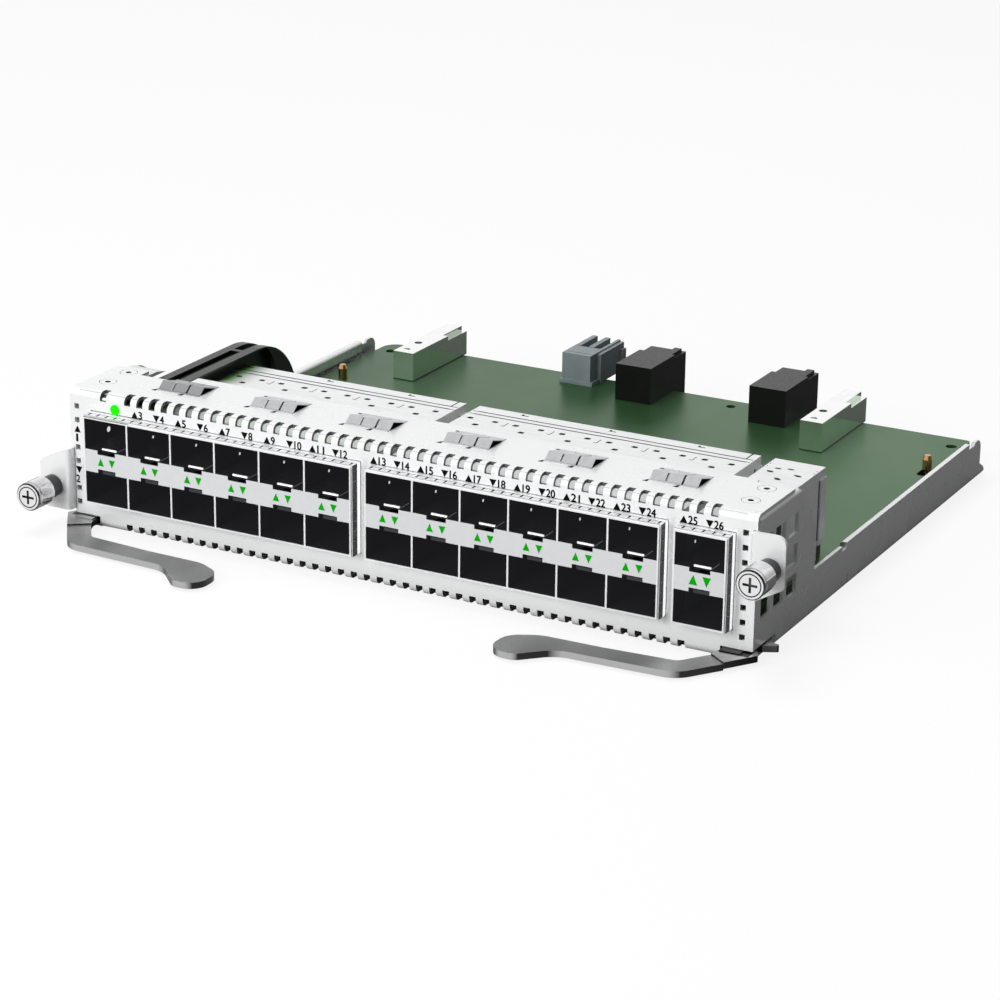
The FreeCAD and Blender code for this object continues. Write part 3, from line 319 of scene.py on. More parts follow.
class Shader:
    """A node material with short names for the nodes that its finishes use."""

    def __init__(self, name):
        self.material = bpy.data.materials.new(name)
        self.material.use_nodes = True
        self.tree = self.material.node_tree
        self.surface = self.tree.nodes["Principled BSDF"]
        coordinates = self.tree.nodes.new("ShaderNodeTexCoord")
        self.place = coordinates.outputs["Object"]

    def link(self, source, target):
        self.tree.links.new(source, target)

    def stretched(self, scale):
        mapping = self.tree.nodes.new("ShaderNodeMapping")
        mapping.inputs["Scale"].default_value = scale
        self.link(self.place, mapping.inputs["Vector"])
        return mapping.outputs["Vector"]

    def noise(self, cells_per_metre, detail, stretch=(1, 1, 1)):
        noise = self.tree.nodes.new("ShaderNodeTexNoise")
        noise.inputs["Scale"].default_value = cells_per_metre
        noise.inputs["Detail"].default_value = detail
        self.link(self.stretched(stretch), noise.inputs["Vector"])
        return noise.outputs["Fac"]

    def mapped(self, value, low, high, to_low, to_high):
        node = self.tree.nodes.new("ShaderNodeMapRange")
        for index, number in enumerate((low, high, to_low, to_high), start=1):
            node.inputs[index].default_value = number
        self.link(value, node.inputs[0])
        return node.outputs[0]

    def mixed(self, factor, first, second):
        """Colour between two colours or sockets."""
        node = self.tree.nodes.new("ShaderNodeMix")
        node.data_type = "RGBA"
        self.link(factor, node.inputs[0])
        for slot, value in ((6, first), (7, second)):
            if isinstance(value, bpy.types.NodeSocket):
                self.link(value, node.inputs[slot])
            else:
                node.inputs[slot].default_value = (*value, 1.0)
        return node.outputs[2]

    def toned(self, value, span, colour, darkest, lightest):
        """A colour that runs between two strengths with a noise."""
        return self.mixed(self.mapped(value, *span, 0, 1), shade(colour, darkest), shade(colour, lightest))

    def bumped(self, height, strength, distance):
        node = self.tree.nodes.new("ShaderNodeBump")
        node.inputs["Strength"].default_value = strength
        node.inputs["Distance"].default_value = distance
        self.link(height, node.inputs["Height"])
        self.link(node.outputs["Normal"], self.surface.inputs["Normal"])

    def calculated(self, operation, first, second):
        node = self.tree.nodes.new("ShaderNodeMath")
        node.operation = operation
        for slot, value in ((0, first), (1, second)):
            if isinstance(value, bpy.types.NodeSocket):
                self.link(value, node.inputs[slot])
            else:
                node.inputs[slot].default_value = value
        return node.outputs[0]

    def above(self, value, limit):
        return self.calculated("GREATER_THAN", value, limit)

    def below(self, value, limit):
        return self.calculated("LESS_THAN", value, limit)

    def both(self, first, second):
        return self.calculated("MULTIPLY", first, second)

    def either(self, first, second):
        return self.calculated("MAXIMUM", first, second)

    def inverse(self, mask):
        return self.calculated("SUBTRACT", 1.0, mask)

    def split(self, vector):
        node = self.tree.nodes.new("ShaderNodeSeparateXYZ")
        self.link(vector, node.inputs[0])
        return node.outputs

    def axes(self):
        return self.split(self.place)

    def facing(self):
        """The surface's own direction, as three axes."""
        coordinates = self.tree.nodes.new("ShaderNodeTexCoord")
        return self.split(coordinates.outputs["Normal"])

    def from_line(self, x, z):
        """Distance from the line along Y through x and z."""
        axes = self.axes()
        across = self.calculated("SUBTRACT", axes[0], x)
        up = self.calculated("SUBTRACT", axes[2], z)
        squares = [self.calculated("MULTIPLY", side, side) for side in (across, up)]
        return self.calculated("SQRT", self.calculated("ADD", *squares), 0.0)

    def within(self, low, high):
        """1 inside the box between two corners; None leaves a side open."""
        axes = self.axes()
        mask = None
        for axis in range(3):
            for limit, test in ((low[axis], self.above), (high[axis], self.below)):
                if limit is not None:
                    side = test(axes[axis], limit)
                    mask = side if mask is None else self.both(mask, side)
        return mask

    def zone(self, low, high):
        """1 inside the box between two corners in millimetres on the panel."""
        return self.within(row_point(*low), row_point(*high))

    def depths(self, low, high):
        """1 between two depths behind the panel's face, in millimetres; None leaves a side open."""
        low, high = (None if depth is None else row_point(0, depth, 0).y for depth in (low, high))
        return self.within((None, low, None), (None, high, None))

    def faded(self, axis, span, to_low, to_high):
        """Number that runs between two places on the panel along X (0) or Y (1)."""
        low, high = (row_point(place, place, 0)[axis] for place in span)
        return self.mapped(self.axes()[axis], low, high, to_low, to_high)

    def set(self, **values):
        for name, value in values.items():
            self.surface.inputs[name.replace("_", " ")].default_value = value

    def base(self):
        """The colour so far."""
        return self.surface.inputs["Base Color"].links[0].from_socket

    def colour(self, socket):
        self.link(socket, self.surface.inputs["Base Color"])

    def emission(self, socket):
        self.link(socket, self.surface.inputs["Emission Color"])

    def rough(self, value, low, high):
        """Roughness that runs between two values with a noise."""
        self.link(self.mapped(value, *SOFT, low, high), self.surface.inputs["Roughness"])


def coated_steel(name, colours):
    """Satin coat on sheet steel: slightly uneven gloss, painted shade on the walls of the slots in the folds,
    a painted shade line along the upper bend, and painted green lamp light on the tray's left wall.
    """
    shader = Shader(name)
    clouds = shader.noise(cells_per_metre=90, detail=3.0)
    coat = shader.toned(clouds, SOFT, colours.coat, 0.985, 1.01)
    shader.rough(clouds, 0.24, 0.32)
    inset = BARE_WALL_INSET * MM
    wall_low, wall_high = (height * MM for height in BARE_WALL)
    inner_wall = shader.within(
        (PANEL_LOW.x + inset, row_point(0, TRAY_REAR, 0).y, wall_low), (PANEL_HIGH.x - inset, None, wall_high)
    )
    shader.link(shader.mapped(inner_wall, 0, 1, 0.25, 0.85), shader.surface.inputs["Metallic"])
    facing = shader.facing()
    # Painted shade on the slot walls in the folds: right-facing sides, front-facing ends and upward sills
    sides = shader.both(shader.above(facing[0], STEEP), shader.zone(*FOLDS))
    ends = shader.both(shader.below(facing[1], -SQUARE), shader.zone(*SLOT_ENDS))
    sills = shader.both(shader.above(facing[2], STEEP), shader.zone(*SLOT_SILLS))
    shaded_slot_walls = shader.either(shader.either(sides, ends), sills)
    coat = shader.mixed(shaded_slot_walls, coat, colours.cut_edge)
    # Painted shade line along the upper bend
    coat = shader.mixed(shader.zone(*BEND_SHADE_ZONE), coat, colours.bend_line)
    lamp_lit = shader.zone(*LAMP_LIT_WALL)
    shader.colour(shader.mixed(lamp_lit, coat, colours.lit_wall))
    shader.emission(shader.mixed(lamp_lit, BLACK, colours.lit_wall))
    shader.set(Specular_IOR_Level=0.25, Emission_Strength=0.6)
    return shader


def plated_steel(name, colour, grain=(1, 1, 1), gloss=0.36, metallic=0.55, relief=0.06):
    """Tin-plated sheet with the rolling grain along one direction."""
    shader = Shader(name)
    lines = shader.noise(cells_per_metre=900, detail=2.0, stretch=grain)
    shader.colour(shader.toned(lines, CRISP, colour, 0.95, 1.02))
    shader.rough(lines, gloss - 0.05, gloss + 0.06)
    shader.bumped(lines, strength=relief, distance=0.00002)
    shader.set(Metallic=metallic)
    return shader


def blasted_zinc(name, colour, side_shade_colour):
    """Zinc casting, bead blasted on top; its sides carry painted shade, lighter where they face forward, and
    it has painted shade where the levers pass under the panel.
    """
    shader = Shader(name)
    beads = shader.noise(cells_per_metre=3200, detail=2.0)
    clouds = shader.noise(cells_per_metre=55, detail=1.0, stretch=(1, 0.4, 1))
    grain = shader.toned(beads, CRISP, colour, 0.86, 1.12)
    face = shader.mixed(shader.mapped(clouds, *CLOUDY, 0, 1), shade(colour, 0.62), grain)
    facing = shader.facing()
    forward = shader.mapped(facing[1], -0.97, -0.80, 1, 0)
    # Painted shade on the sides, lighter on those that face forward
    edge = shader.mixed(forward, side_shade_colour, shade(colour, 0.72))
    upward = shader.above(facing[2], TURNED)
    # Painted shade where the levers pass under the panel
    beneath = shader.either(*(shader.zone(*corners) for corners in SHADED_LEVERS))
    shader.colour(shader.mixed(beneath, shader.mixed(upward, edge, face), shade(side_shade_colour, 0.6)))
    shader.rough(shader.noise(cells_per_metre=1600, detail=1.0), 0.30, 0.42)
    shader.bumped(beads, strength=0.22, distance=0.00005)
    shader.set(Metallic=0.8)
    return shader


def turned_metal(name, colour, gloss):
    """Lathe-turned metal with fine rings along its axis."""
    shader = Shader(name)
    rings = shader.noise(cells_per_metre=1500, detail=1.0, stretch=(0.02, 6, 0.02))
    shader.colour(shader.toned(rings, CRISP, colour, 0.97, 1.02))
    shader.rough(rings, gloss - 0.03, gloss + 0.03)
    shader.bumped(rings, strength=0.02, distance=0.00001)
    shader.set(Metallic=1.0)
    return shader


def satin_knob(name, colour, screw):
    """Satin chrome with painted shade in its cross recess and face ring, and a painted dark reflection on its
    rim.
    """
    shader = turned_metal(name, colour, gloss=0.16)
    low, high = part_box(screw)
    radius = shader.from_line((low.x + high.x) / 2, (low.z + high.z) / 2)
    depth = shader.axes()[1]
    start, end = (low.y + limit * MM for limit in RECESS_DEPTHS)
    recess = shader.both(shader.above(depth, start), shader.below(depth, end))
    cross = shader.both(recess, shader.below(radius, CROSS_RADIUS * MM))
    ring = shader.both(recess, shader.below(radius, FACE_RING_RADIUS * MM))
    slope = shader.mapped(shader.facing()[1], -0.97, -0.90, 0, 1)
    rim = shader.both(slope, shader.below(depth, low.y + RIM_DEPTH * MM))
    rim = shader.both(rim, shader.inverse(shader.above(shader.facing()[1], -0.2)))
    # Painted dark reflection on the rim, painted shade in the face ring and the cross recess
    face = shader.mixed(rim, shader.base(), shade(colour, 0.10))
    face = shader.mixed(ring, face, shade(colour, 0.10))
    shader.colour(shader.mixed(cross, face, shade(colour, 0.34)))
    return shader


def moulded_plastic(name, colour, gloss=0.45):
    """Moulded plastic with a fine spark-eroded texture."""
    shader = Shader(name)
    grain = shader.noise(cells_per_metre=2200, detail=2.0)
    shader.colour(shader.toned(shader.noise(cells_per_metre=160, detail=2.0), SOFT, colour, 0.88, 1.1))
    shader.rough(grain, gloss - 0.06, gloss + 0.08)
    shader.bumped(grain, strength=0.12, distance=0.00003)
    return shader


def dark_finish(name, colour):
    """Dull black, used for painted shade in bores, gaps and under the clips, and for the dark marks on the
    cage tops.
    """
    shader = moulded_plastic(name, colour, gloss=0.8)
    shader.set(Specular_IOR_Level=0.1)
    return shader.material


def glowing_pipe(name, colour, side_colour, glow, front):
    """Clear green plastic that carries a lamp's light and shows it only at its front end."""
    shader = Shader(name)
    clouds = shader.noise(cells_per_metre=700, detail=1.0)
    lit = shader.below(shader.axes()[1], front)
    shader.colour(shader.mixed(lit, side_colour, shader.toned(clouds, SOFT, colour, 0.85, 1.05)))
    shader.emission(shader.mixed(lit, BLACK, colour))
    shader.rough(clouds, 0.35, 0.5)
    shader.set(Emission_Strength=glow, Specular_IOR_Level=0.1)
    return shader.material


def printed_ink(name, colour):
    """Black ink, a little uneven."""
    shader = Shader(name)
    specks = shader.noise(cells_per_metre=2600, detail=1.0)
    shader.colour(shader.toned(specks, SPECKLED, colour, 1.0, 2.2))
    shader.rough(specks, 0.45, 0.6)
    shader.set(Specular_IOR_Level=0.05)
    return shader.material


def give(material, *names):
    """Puts a finish on CAD nodes."""
    for name in names:
        target = bpy.data.objects[name]
        target.data.materials.clear()
        target.data.materials.append(material)


def new_piece(name, shape, material):
    """A finished mesh at the origin that rides on the card."""
    mesh = bpy.data.meshes.new(name)
    shape.to_mesh(mesh)
    shape.free()
    piece = bpy.data.objects.new(name, mesh)
    bpy.context.scene.collection.objects.link(piece)
    mesh.materials.append(material)
    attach(piece, CARD)
    return piece


def box_between(shape, low, high):
    """Adds a plain box between two corners, in millimetres on the panel."""
    first, second = row_point(*low), row_point(*high)
    size = second - first
    matrix = Matrix.Translation((first + second) / 2) @ Matrix.Diagonal((*size, 1))
    bmesh.ops.create_cube(shape, size=1, matrix=matrix)


def disc_at(shape, centre, radius, thickness, along, depth=1.0):
    """Adds a flat disc, or an ellipse shorter by depth, with its faces across the axis X or Z."""
    turn = {"X": Matrix.Rotation(math.radians(90), 4, "Y"), "Z": Matrix.Identity(4)}[along]
    matrix = Matrix.Translation(row_point(*centre)) @ turn @ Matrix.Diagonal((1, depth, 1, 1))
    bmesh.ops.create_cone(shape, cap_ends=True, segments=24, radius1=radius * MM, radius2=radius * MM,
                          depth=thickness * MM, matrix=matrix)


def ring_at(shape, centre, inner, outer, low, high):
    """Adds a flat ring round a vertical axis."""
    corners = ((inner, low), (outer, low), (outer, high), (inner, high))
    middle = row_point(*centre, 0)
    points = [shape.verts.new((middle.x + r * MM, middle.y, z * MM)) for r, z in corners]
    edges = [shape.edges.new((points[k - 1], points[k])) for k in range(4)]
    bmesh.ops.spin(shape, geom=points + edges, cent=middle, axis=(0, 0, 1), angle=math.tau, steps=32,
                   use_merge=True)
    bmesh.ops.recalc_face_normals(shape, faces=shape.faces)


def clip_steel(colours):
    """Spring steel; the first clip is painted darker as shade, and the first gap of each has painted light.
    """
    grain = (1, 0.1, 1)
    shader = plated_steel("clip_steel", colours.clip, grain, gloss=0.36, metallic=0.7, relief=0.008)
    first_right = row_point(CLIP_LEFTS[0] + CLIP_WIDTH + 1, 0, 0).x
    first = shader.within((None, None, None), (first_right, None, None))
    # Painted shade on the first clip
    shader.colour(shader.mixed(first, shader.base(), shade(colours.clip, 0.62)))
    along = shader.calculated("SUBTRACT", shader.axes()[0], row_point(CLIP_LEFTS[0], 0, 0).x)
    along = shader.calculated("FLOORED_MODULO", along, CLIP_PITCH * MM)
    gap = shader.below(along, (CLIP_FINGER + CLIP_GAP) * MM)
    gap = shader.both(gap, shader.above(shader.facing()[0], STEEP))
    shader.emission(shader.mixed(gap, BLACK, colours.clip_gap))
    shader.set(Emission_Strength=1.0)
    return shader.material


def marks_at(shape, left, marks, low, high):
    """Adds thin marks, each with its own left, front, right and back, from a left side on."""
    for x0, y0, x1, y1 in marks:
        box_between(shape, (left + x0, y0, low), (left + x1, y1, high))


def clip_opening(shape, left):
    """Painted shade under one clip's arch, showing beside and through it, and thin dark slits behind it, as
    dark marks on the cover.
    """
    low, high = COVER_TOP + COVER_MARK_LOW, COVER_TOP + COVER_MARK_HIGH
    marks_at(shape, left, CLIP_SHADE_ROWS, low, high)
    for corners in CLIP_ENDS:
        shape.faces.new([shape.verts.new(row_point(left + x, y, high)) for x, y in corners])


class LINECARD_OT_sheet_metal(bpy.types.Operator):
    """Coats the front panel and the tray, and adds painted shade in the rivets' bores and seat gaps and under
    the clips' arches
    """

    bl_idname = "linecard.sheet_metal"
    bl_label = "Sheet metal"

    def execute(self, context):
        colours = context.scene.line_card_colours
        give(coated_steel("satin_coat", colours).material, "front_panel", "base_tray")
        rivet = plated_steel("rivet_plate", colours.plate, gloss=0.3, metallic=0.2)
        give(rivet.material, "cover_rivets", "pivot_rivets", "screw_ring_left", "screw_ring_right")
        give(clip_steel(colours), "grounding_clips")
        # Near-black for the painted shade in the rivets' bores and under the clips
        dark = dark_finish("hole_shade_black", colours.inside)
        bore_shade, clip_shade = bmesh.new(), bmesh.new()
        # Painted shade: a dark disc deep in each rivet's bore and a dark ring in its seat gap
        for x, y in RIVETS:
            disc_at(bore_shade, (x, y, COVER_TOP - 0.12), RIVET_BORE, 0.05, "Z")
            ring_at(bore_shade, (x, y), *RIVET_SEAT, COVER_TOP - 0.08, COVER_TOP - 0.03)
        # Painted shade under each clip's arch, with the thin dark slits behind it
        for left in CLIP_LEFTS:
            clip_opening(clip_shade, left)
        new_piece("rivet_bore_shade", bore_shade, dark)
        new_piece("clip_shade_marks", clip_shade, dark)
        return {"FINISHED"}


def lined_plate(cage, colours):
    """Cage plate: painted near-black as shade, with a faint glow, inside the ports and under the spring
    fingers; painted light on its top under the cover's slots; and a dull groove on top.
    """
    low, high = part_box("cage_%d_shell" % cage)
    shader = plated_steel("cage_%d_plate" % cage, colours.plate, grain=(0.12, 1, 1), gloss=0.38, metallic=0.2)
    skin = SKIN * MM
    inside = shader.within(
        (low.x + skin, low.y + 0.25 * MM, low.z + skin), (high.x - skin, high.y - skin, high.z - skin)
    )
    # Painted shade: the plate inside the ports and under the spring fingers is made near-black
    dark = shader.either(inside, shader.depths(FINGER_SLOT_FRONT, STRIP_BACK))
    groove_front, groove_back = (row_point(0, depth, 0).y for depth in CAGE_GROOVE)
    groove = shader.within((None, groove_front, high.z - 0.2 * MM), (None, groove_back, high.z - skin))
    # Painted light on the cage top under the cover's slots
    cover_front, cover_back = (row_point(0, depth, 0).y for depth in UNDER_COVER)
    under_cover = shader.within((None, cover_front, high.z - 0.5 * skin), (None, cover_back, None))
    outside, slot_light = shader.base(), colours.slot_light
    if cage == 1:
        # Painted shade and green lamp light on cage 1's top under the first slots, fading to the plate
        from_lamp = shader.faded(0, FIRST_SLOTS_FADE, 0, 1)
        slot_light = shader.mixed(from_lamp, colours.first_light, colours.next_light)
        shown = shader.mixed(from_lamp, colours.first_slots, colours.plate)
        outside = shader.mixed(under_cover, outside, shown)
    shader.colour(shader.mixed(groove, shader.mixed(dark, outside, colours.inside), colours.score))
    shader.link(shader.calculated("MULTIPLY", shader.inverse(dark), 0.2), shader.surface.inputs["Metallic"])
    # Painted glow: the painted shade glows faintly near-black, and the top under the cover's slots gets
    # painted light
    shader.emission(shader.mixed(dark, shader.mixed(under_cover, BLACK, slot_light), colours.inside))
    shader.set(Emission_Strength=1.0, Specular_IOR_Level=0.2)
    if cage == 1:
        light_beside_arch(shader, colours)
    if cage == 3:
        shade_behind_vents(shader, colours)
    return shader.material


def light_beside_arch(shader, colours):
    """Green light and the arch's shade on the cage top beside the status light's pipe."""
    top = shader.above(shader.axes()[2], (CAGE_TOP - 0.01) * MM)
    reach = (ARCH_SHADE_FADE[1], LAMP_GLOW_REACH)
    glow = shader.both(shader.faded(0, reach, 1, 0), shader.faded(1, LAMP_GLOW_FADE, 0, 1))
    glow = shader.calculated("POWER", glow, 1.6)
    shadow = shader.faded(0, ARCH_SHADE_FADE, 1, 0)
    green = shader.mixed(shader.both(glow, top), shader.base(), colours.top_glow)
    shader.colour(shader.mixed(shader.both(shadow, top), green, colours.arch_shade))


def shade_behind_vents(shader, colours):
    """The shaded side of the last cage that shows through the vents of the tray's right wall."""
    rightward = shader.above(shader.facing()[0], STEEP)
    side = shader.both(rightward, shader.depths(*BEHIND_VENTS))
    shader.colour(shader.mixed(side, shader.base(), colours.vent_shade))


def band_plate(cage, colours):
    """Flat plate of the centre band; only its face and the upper latch lips are bright: the upper lips carry
    a painted highlight and painted light, the lower lips painted shade, and the rest painted near-black shade
    with a faint glow.
    """
    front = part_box("cage_%d_centre_band" % cage)[0].y
    shader = Shader("cage_%d_band" % cage)
    grain = shader.noise(cells_per_metre=500, detail=1.0)
    # Painted shade: behind its front sheet, and on its faces that don't face forward (the ports' floor and
    # ceiling), the band is near-black with a faint glow
    behind = shader.within((None, front + BAND_SHEET * MM, None), (None, None, None))
    behind = shader.either(behind, shader.above(shader.facing()[1], -SQUARE))
    lip_front, lip_back = front + LIP_FRONT * MM, front + LIP_BACK * MM
    upper_lip = shader.within((None, lip_front, (BAND_HIGH + SKIN) * MM), (None, lip_back, None))
    lower_lip = shader.within((None, lip_front, None), (None, lip_back, (BAND_LOW + LIP_SHEET) * MM))
    colour = shader.mixed(behind, shader.toned(grain, SOFT, colours.band, 0.985, 1.01), colours.inside)
    # Painted shade on the lower latch lips, painted highlight on the upper ones
    colour = shader.mixed(lower_lip, colour, colours.lip_shade)
    shader.colour(shader.mixed(upper_lip, colour, colours.lip))
    lit = shader.mixed(behind, BLACK, colours.inside)
    shader.emission(shader.mixed(upper_lip, lit, colours.lip_light))
    shader.rough(grain, 0.45, 0.55)
    shader.set(Specular_IOR_Level=0.15, Emission_Strength=1.0)
    return shader.material


def finger_plate(colours):
    """Spring fingers: light on top, shaded at their right side, and like the panel where they enter it."""
    shader = plated_steel("finger_steel", colours.finger, grain=(1, 0.1, 1), gloss=0.4, metallic=0.2)
    facing = shader.facing()
    rightward = shader.above(facing[0], TURNED)
    upward = shader.above(facing[2], TURNED)
    edge = shader.both(shader.depths(None, FINGER_EDGE), upward)
    line = shader.both(shader.depths(STRIP_BACK - STRIP_LINE, STRIP_BACK), upward)
    colour = shader.mixed(rightward, shader.base(), colours.finger_side)
    colour = shader.mixed(shader.depths(STRIP_BACK, None), colour, colours.coat)
    shader.colour(shader.mixed(shader.either(line, edge), colour, colours.score))
    shader.set(Specular_IOR_Level=0.2)
    return shader.material


class LINECARD_OT_cages(bpy.types.Operator):
    """Finishes the transceiver cages, their fingers, light pipes and connectors"""

    bl_idname = "linecard.cages"
    bl_label = "Transceiver cages"

    def execute(self, context):
        colours = context.scene.line_card_colours
        finger = finger_plate(colours)
        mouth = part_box("cage_1_centre_band")[0].y
        lamp_back = mouth + LAMP_FRONT * MM
        lamp = glowing_pipe("port_lamp", colours.lamp, colours.pipe_side, glow=0.25, front=lamp_back)
        # The connectors' black plastic, with a painted faint glow of the ports' near-black
        lining = moulded_plastic("connector_black_glow", colours.inside)
        lining.set(Emission_Color=(*colours.inside, 1), Emission_Strength=1.0, Specular_IOR_Level=0.2)
        for cage in CAGES:
            plate = lined_plate(cage, colours)
            give(plate, *("cage_%d_%s" % (cage, part) for part in ("shell", "rear_cover")))
            give(band_plate(cage, colours), "cage_%d_centre_band" % cage)
            if COLUMNS[cage] > 1:
                give(plate, "cage_%d_dividers" % cage)
            give(finger, "cage_%d_finger_frame" % cage)
            give(lamp, "cage_%d_light_pipes" % cage)
            give(lining.material, "cage_%d_connectors" % cage)
        return {"FINISHED"}


def finger_gaps(dark, collars, cage):
    """Painted shade in the slots between the top fingers, and the plain collar where a cage's frame enters
    the panel.
    """
    low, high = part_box("cage_%d_finger_frame" % cage)
    left, right = ((side - PANEL_LOW.x) / MM for side in (low.x, high.x))
    top, bottom = high.z / MM, low.z / MM
    inner_left, inner_right = left + FRAME_WALL, right - FRAME_WALL
    count = int((inner_right - inner_left - FINGER_MARGIN) / FINGER_PITCH)
    first = (inner_left + inner_right - count * FINGER_PITCH) / 2
    half = FINGER_GAP / 2
    over, cover = top + MARK_LOW, top + MARK_HIGH
    # Painted shade: a dark strip over each slot between the top fingers
    for k in range(count + 1):
        x = first + k * FINGER_PITCH
        box_between(dark, (x - half, FINGER_GAP_FRONT, over), (x + half, STRIP_BACK, cover))
    box_between(collars, (right + MARK_LOW, STRIP_BACK, bottom), (right + MARK_HIGH, -MARK_LOW, top))
    box_between(collars, (left, STRIP_BACK, over), (right, -MARK_LOW, cover))


def collar_coat(colours):
    """The panel's coat, lifted on the shaded side of each collar."""
    shader = coated_steel("collar_coat", colours)
    rightward = shader.above(shader.facing()[0], TURNED)
    shader.emission(shader.mixed(rightward, BLACK, colours.collar_light))
    shader.set(Emission_Strength=1.0)
    return shader.material


class LINECARD_OT_collars(bpy.types.Operator):
    """Adds painted shade in the slots between the spring fingers, and the collars round the cages"""

    bl_idname = "linecard.collars"
    bl_label = "Cage collars"

    def execute(self, context):
        colours = context.scene.line_card_colours
        dark, collars = bmesh.new(), bmesh.new()
        for cage in CAGES:
            finger_gaps(dark, collars, cage)
        new_piece("finger_gaps", dark, dark_finish("gap_shade_black", colours.inside))
        new_piece("cage_collars", collars, collar_coat(colours))
        return {"FINISHED"}


def cage_left(cage):
    """Inside face of a cage's left wall, in millimetres on the panel."""
    return (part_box("cage_%d_shell" % cage)[0].x - PANEL_LOW.x) / MM + CAGE_WALL


def port_lefts(cage):
    """Left side of each column of ports, in millimetres on the panel."""
    return [cage_left(cage) + k * PORT_PITCH for k in range(COLUMNS[cage])]


def top_marks(dark, grey, cage):
    """Scores, hooks and small holes on the top of a cage."""
    low, high = CAGE_TOP + MARK_LOW, CAGE_TOP + MARK_HIGH
    lefts = port_lefts(cage)
    if COLUMNS[cage] > 1:
        for hook in HOOK_LEFTS:
            marks_at(dark, lefts[0] + hook, HOOK, low, high)
        marks_at(dark, lefts[0], DARK_SCORES, low, high)
        marks_at(grey, lefts[0], GREY_SCORES, low, high)
    for left in lefts[:-1]:
        marks_at(grey, left, COLUMN_SCORES, low, high)
    holes = LAST_CAGE_HOLES if cage == 3 else [(x + across, y) for x in lefts for across, y in TOP_HOLES]
    for x, y in holes:
        disc_at(dark, (x, y, (low + high) / 2), HOLE_RADIUS, high - low, "Z", 0.5)


def port_marks(glints, glint_lines, cage):
    """A painted glint on the left wall of each upper port and a painted glint line beside its latch."""
    for column, left in enumerate(port_lefts(cage)):
        depth, height, radius = FIRST_GLINT if cage == 1 and column == 0 else GLINT
        disc_at(glints, (left + SKIN, depth, height), radius, SKIN, "X")
        marks_at(glint_lines, left, GLINT_LINE, BAND_HIGH, BAND_HIGH + GLINT_LINE_HEIGHT)


def lit_plate(name, colour):
    """Plate that shows a little painted light of its own, for the painted glints."""
    finish = plated_steel(name, colour, gloss=0.5, metallic=0.0)
    finish.set(Emission_Color=(*colour, 1), Emission_Strength=1.0)
    return finish.material


class LINECARD_OT_cage_marks(bpy.types.Operator):
    """Adds the scored lines on the cage tops and the painted glints inside the ports"""

    bl_idname = "linecard.cage_marks"
    bl_label = "Cage marks"

    def execute(self, context):
        colours = context.scene.line_card_colours
        dark, grey, glints, glint_lines, cover = (bmesh.new() for _ in range(5))
        for cage in CAGES:
            top_marks(dark, grey, cage)
            port_marks(glints, glint_lines, cage)
        left, right = cage_left(3) + CAGE_WALL, cage_left(3) + PORT_WIDTH - CAGE_WALL
        front, back = TOP_SHEET
        box_between(cover, (left, front, CAGE_TOP), (right, back, CAGE_TOP + TOP_SHEET_THICKNESS))
        new_piece("cage_3_top_sheet", cover, bpy.data.materials["cage_3_plate"])
        new_piece("cage_scores_dark", dark, dark_finish("score_dark", colours.inside))
        new_piece("cage_scores_grey", grey, dark_finish("score_grey", colours.score))
        new_piece("port_glints", glints, lit_plate("port_glints", shade(colours.plate, 0.75)))
        new_piece("port_glint_lines", glint_lines, lit_plate("port_glint_lines", shade(colours.plate, 0.10)))
        return {"FINISHED"}


class LINECARD_OT_levers(bpy.types.Operator):
    """Finishes the ejector levers and the thumbscrews"""

    bl_idname = "linecard.levers"
    bl_label = "Levers and thumbscrews"

    def execute(self, context):
        colours = context.scene.line_card_colours
        zinc = blasted_zinc("blasted_zinc", colours.lever, colours.lever_edge)
        give(zinc.material, "lever_left", "lever_right")
        for screw in ("thumbscrew_left", "thumbscrew_right"):
            give(satin_knob("satin_" + screw, colours.chrome, screw).material, screw)
        sleeve = turned_metal("dark_sleeve", colours.sleeve, gloss=0.35)
        give(sleeve.material, "screw_sleeve_left", "screw_sleeve_right")
        return {"FINISHED"}


def solder_mask(colours):
    """Glossy green solder mask over copper, with painted shade that darkens it towards the left, and the dark
    cut edge of the laminate.
    """
    shader = Shader("solder_mask")
    low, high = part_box("main_board")
    clouds = shader.noise(cells_per_metre=60, detail=3.0)
    # Painted shade: the mask darkens towards the left
    left_shade_fade = shader.mapped(shader.axes()[0], low.x, high.x, 0.0, 1.0)
    mask = shader.toned(clouds, SOFT, colours.board, 0.97, 1.03)
    top = shader.mixed(left_shade_fade, shade(colours.board, 0.72), mask)
    inset = 0.15 * MM
    face = shader.within((low.x + inset, low.y + inset, None), (high.x - inset, high.y - inset, None))
    shader.colour(shader.mixed(face, colours.board_edge, top))
    shader.rough(clouds, 0.30, 0.36)
    shader.bumped(shader.noise(cells_per_metre=1800, detail=1.0), strength=0.03, distance=0.00002)
    shader.set(Metallic=0.55, Specular_IOR_Level=0.2)
    return shader.material


def milled_guide(colours):
    """Milled zinc, bright on top, with the board's green reflection painted on its sides and painted shade at
    their feet.
    """
    shader = plated_steel("milled_guide", colours.guide, grain=(1, 0.15, 1), gloss=0.15, metallic=0.95)
    upward = shader.above(shader.facing()[2], TURNED)
    foot = shader.below(shader.axes()[2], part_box("main_board")[1].z + 0.3 * MM)
    # Painted reflection of the board on the sides, painted shade at their feet
    side = shader.mixed(foot, colours.guide_side, colours.guide_foot)
    shader.colour(shader.mixed(upward, side, shader.base()))
    return shader.material


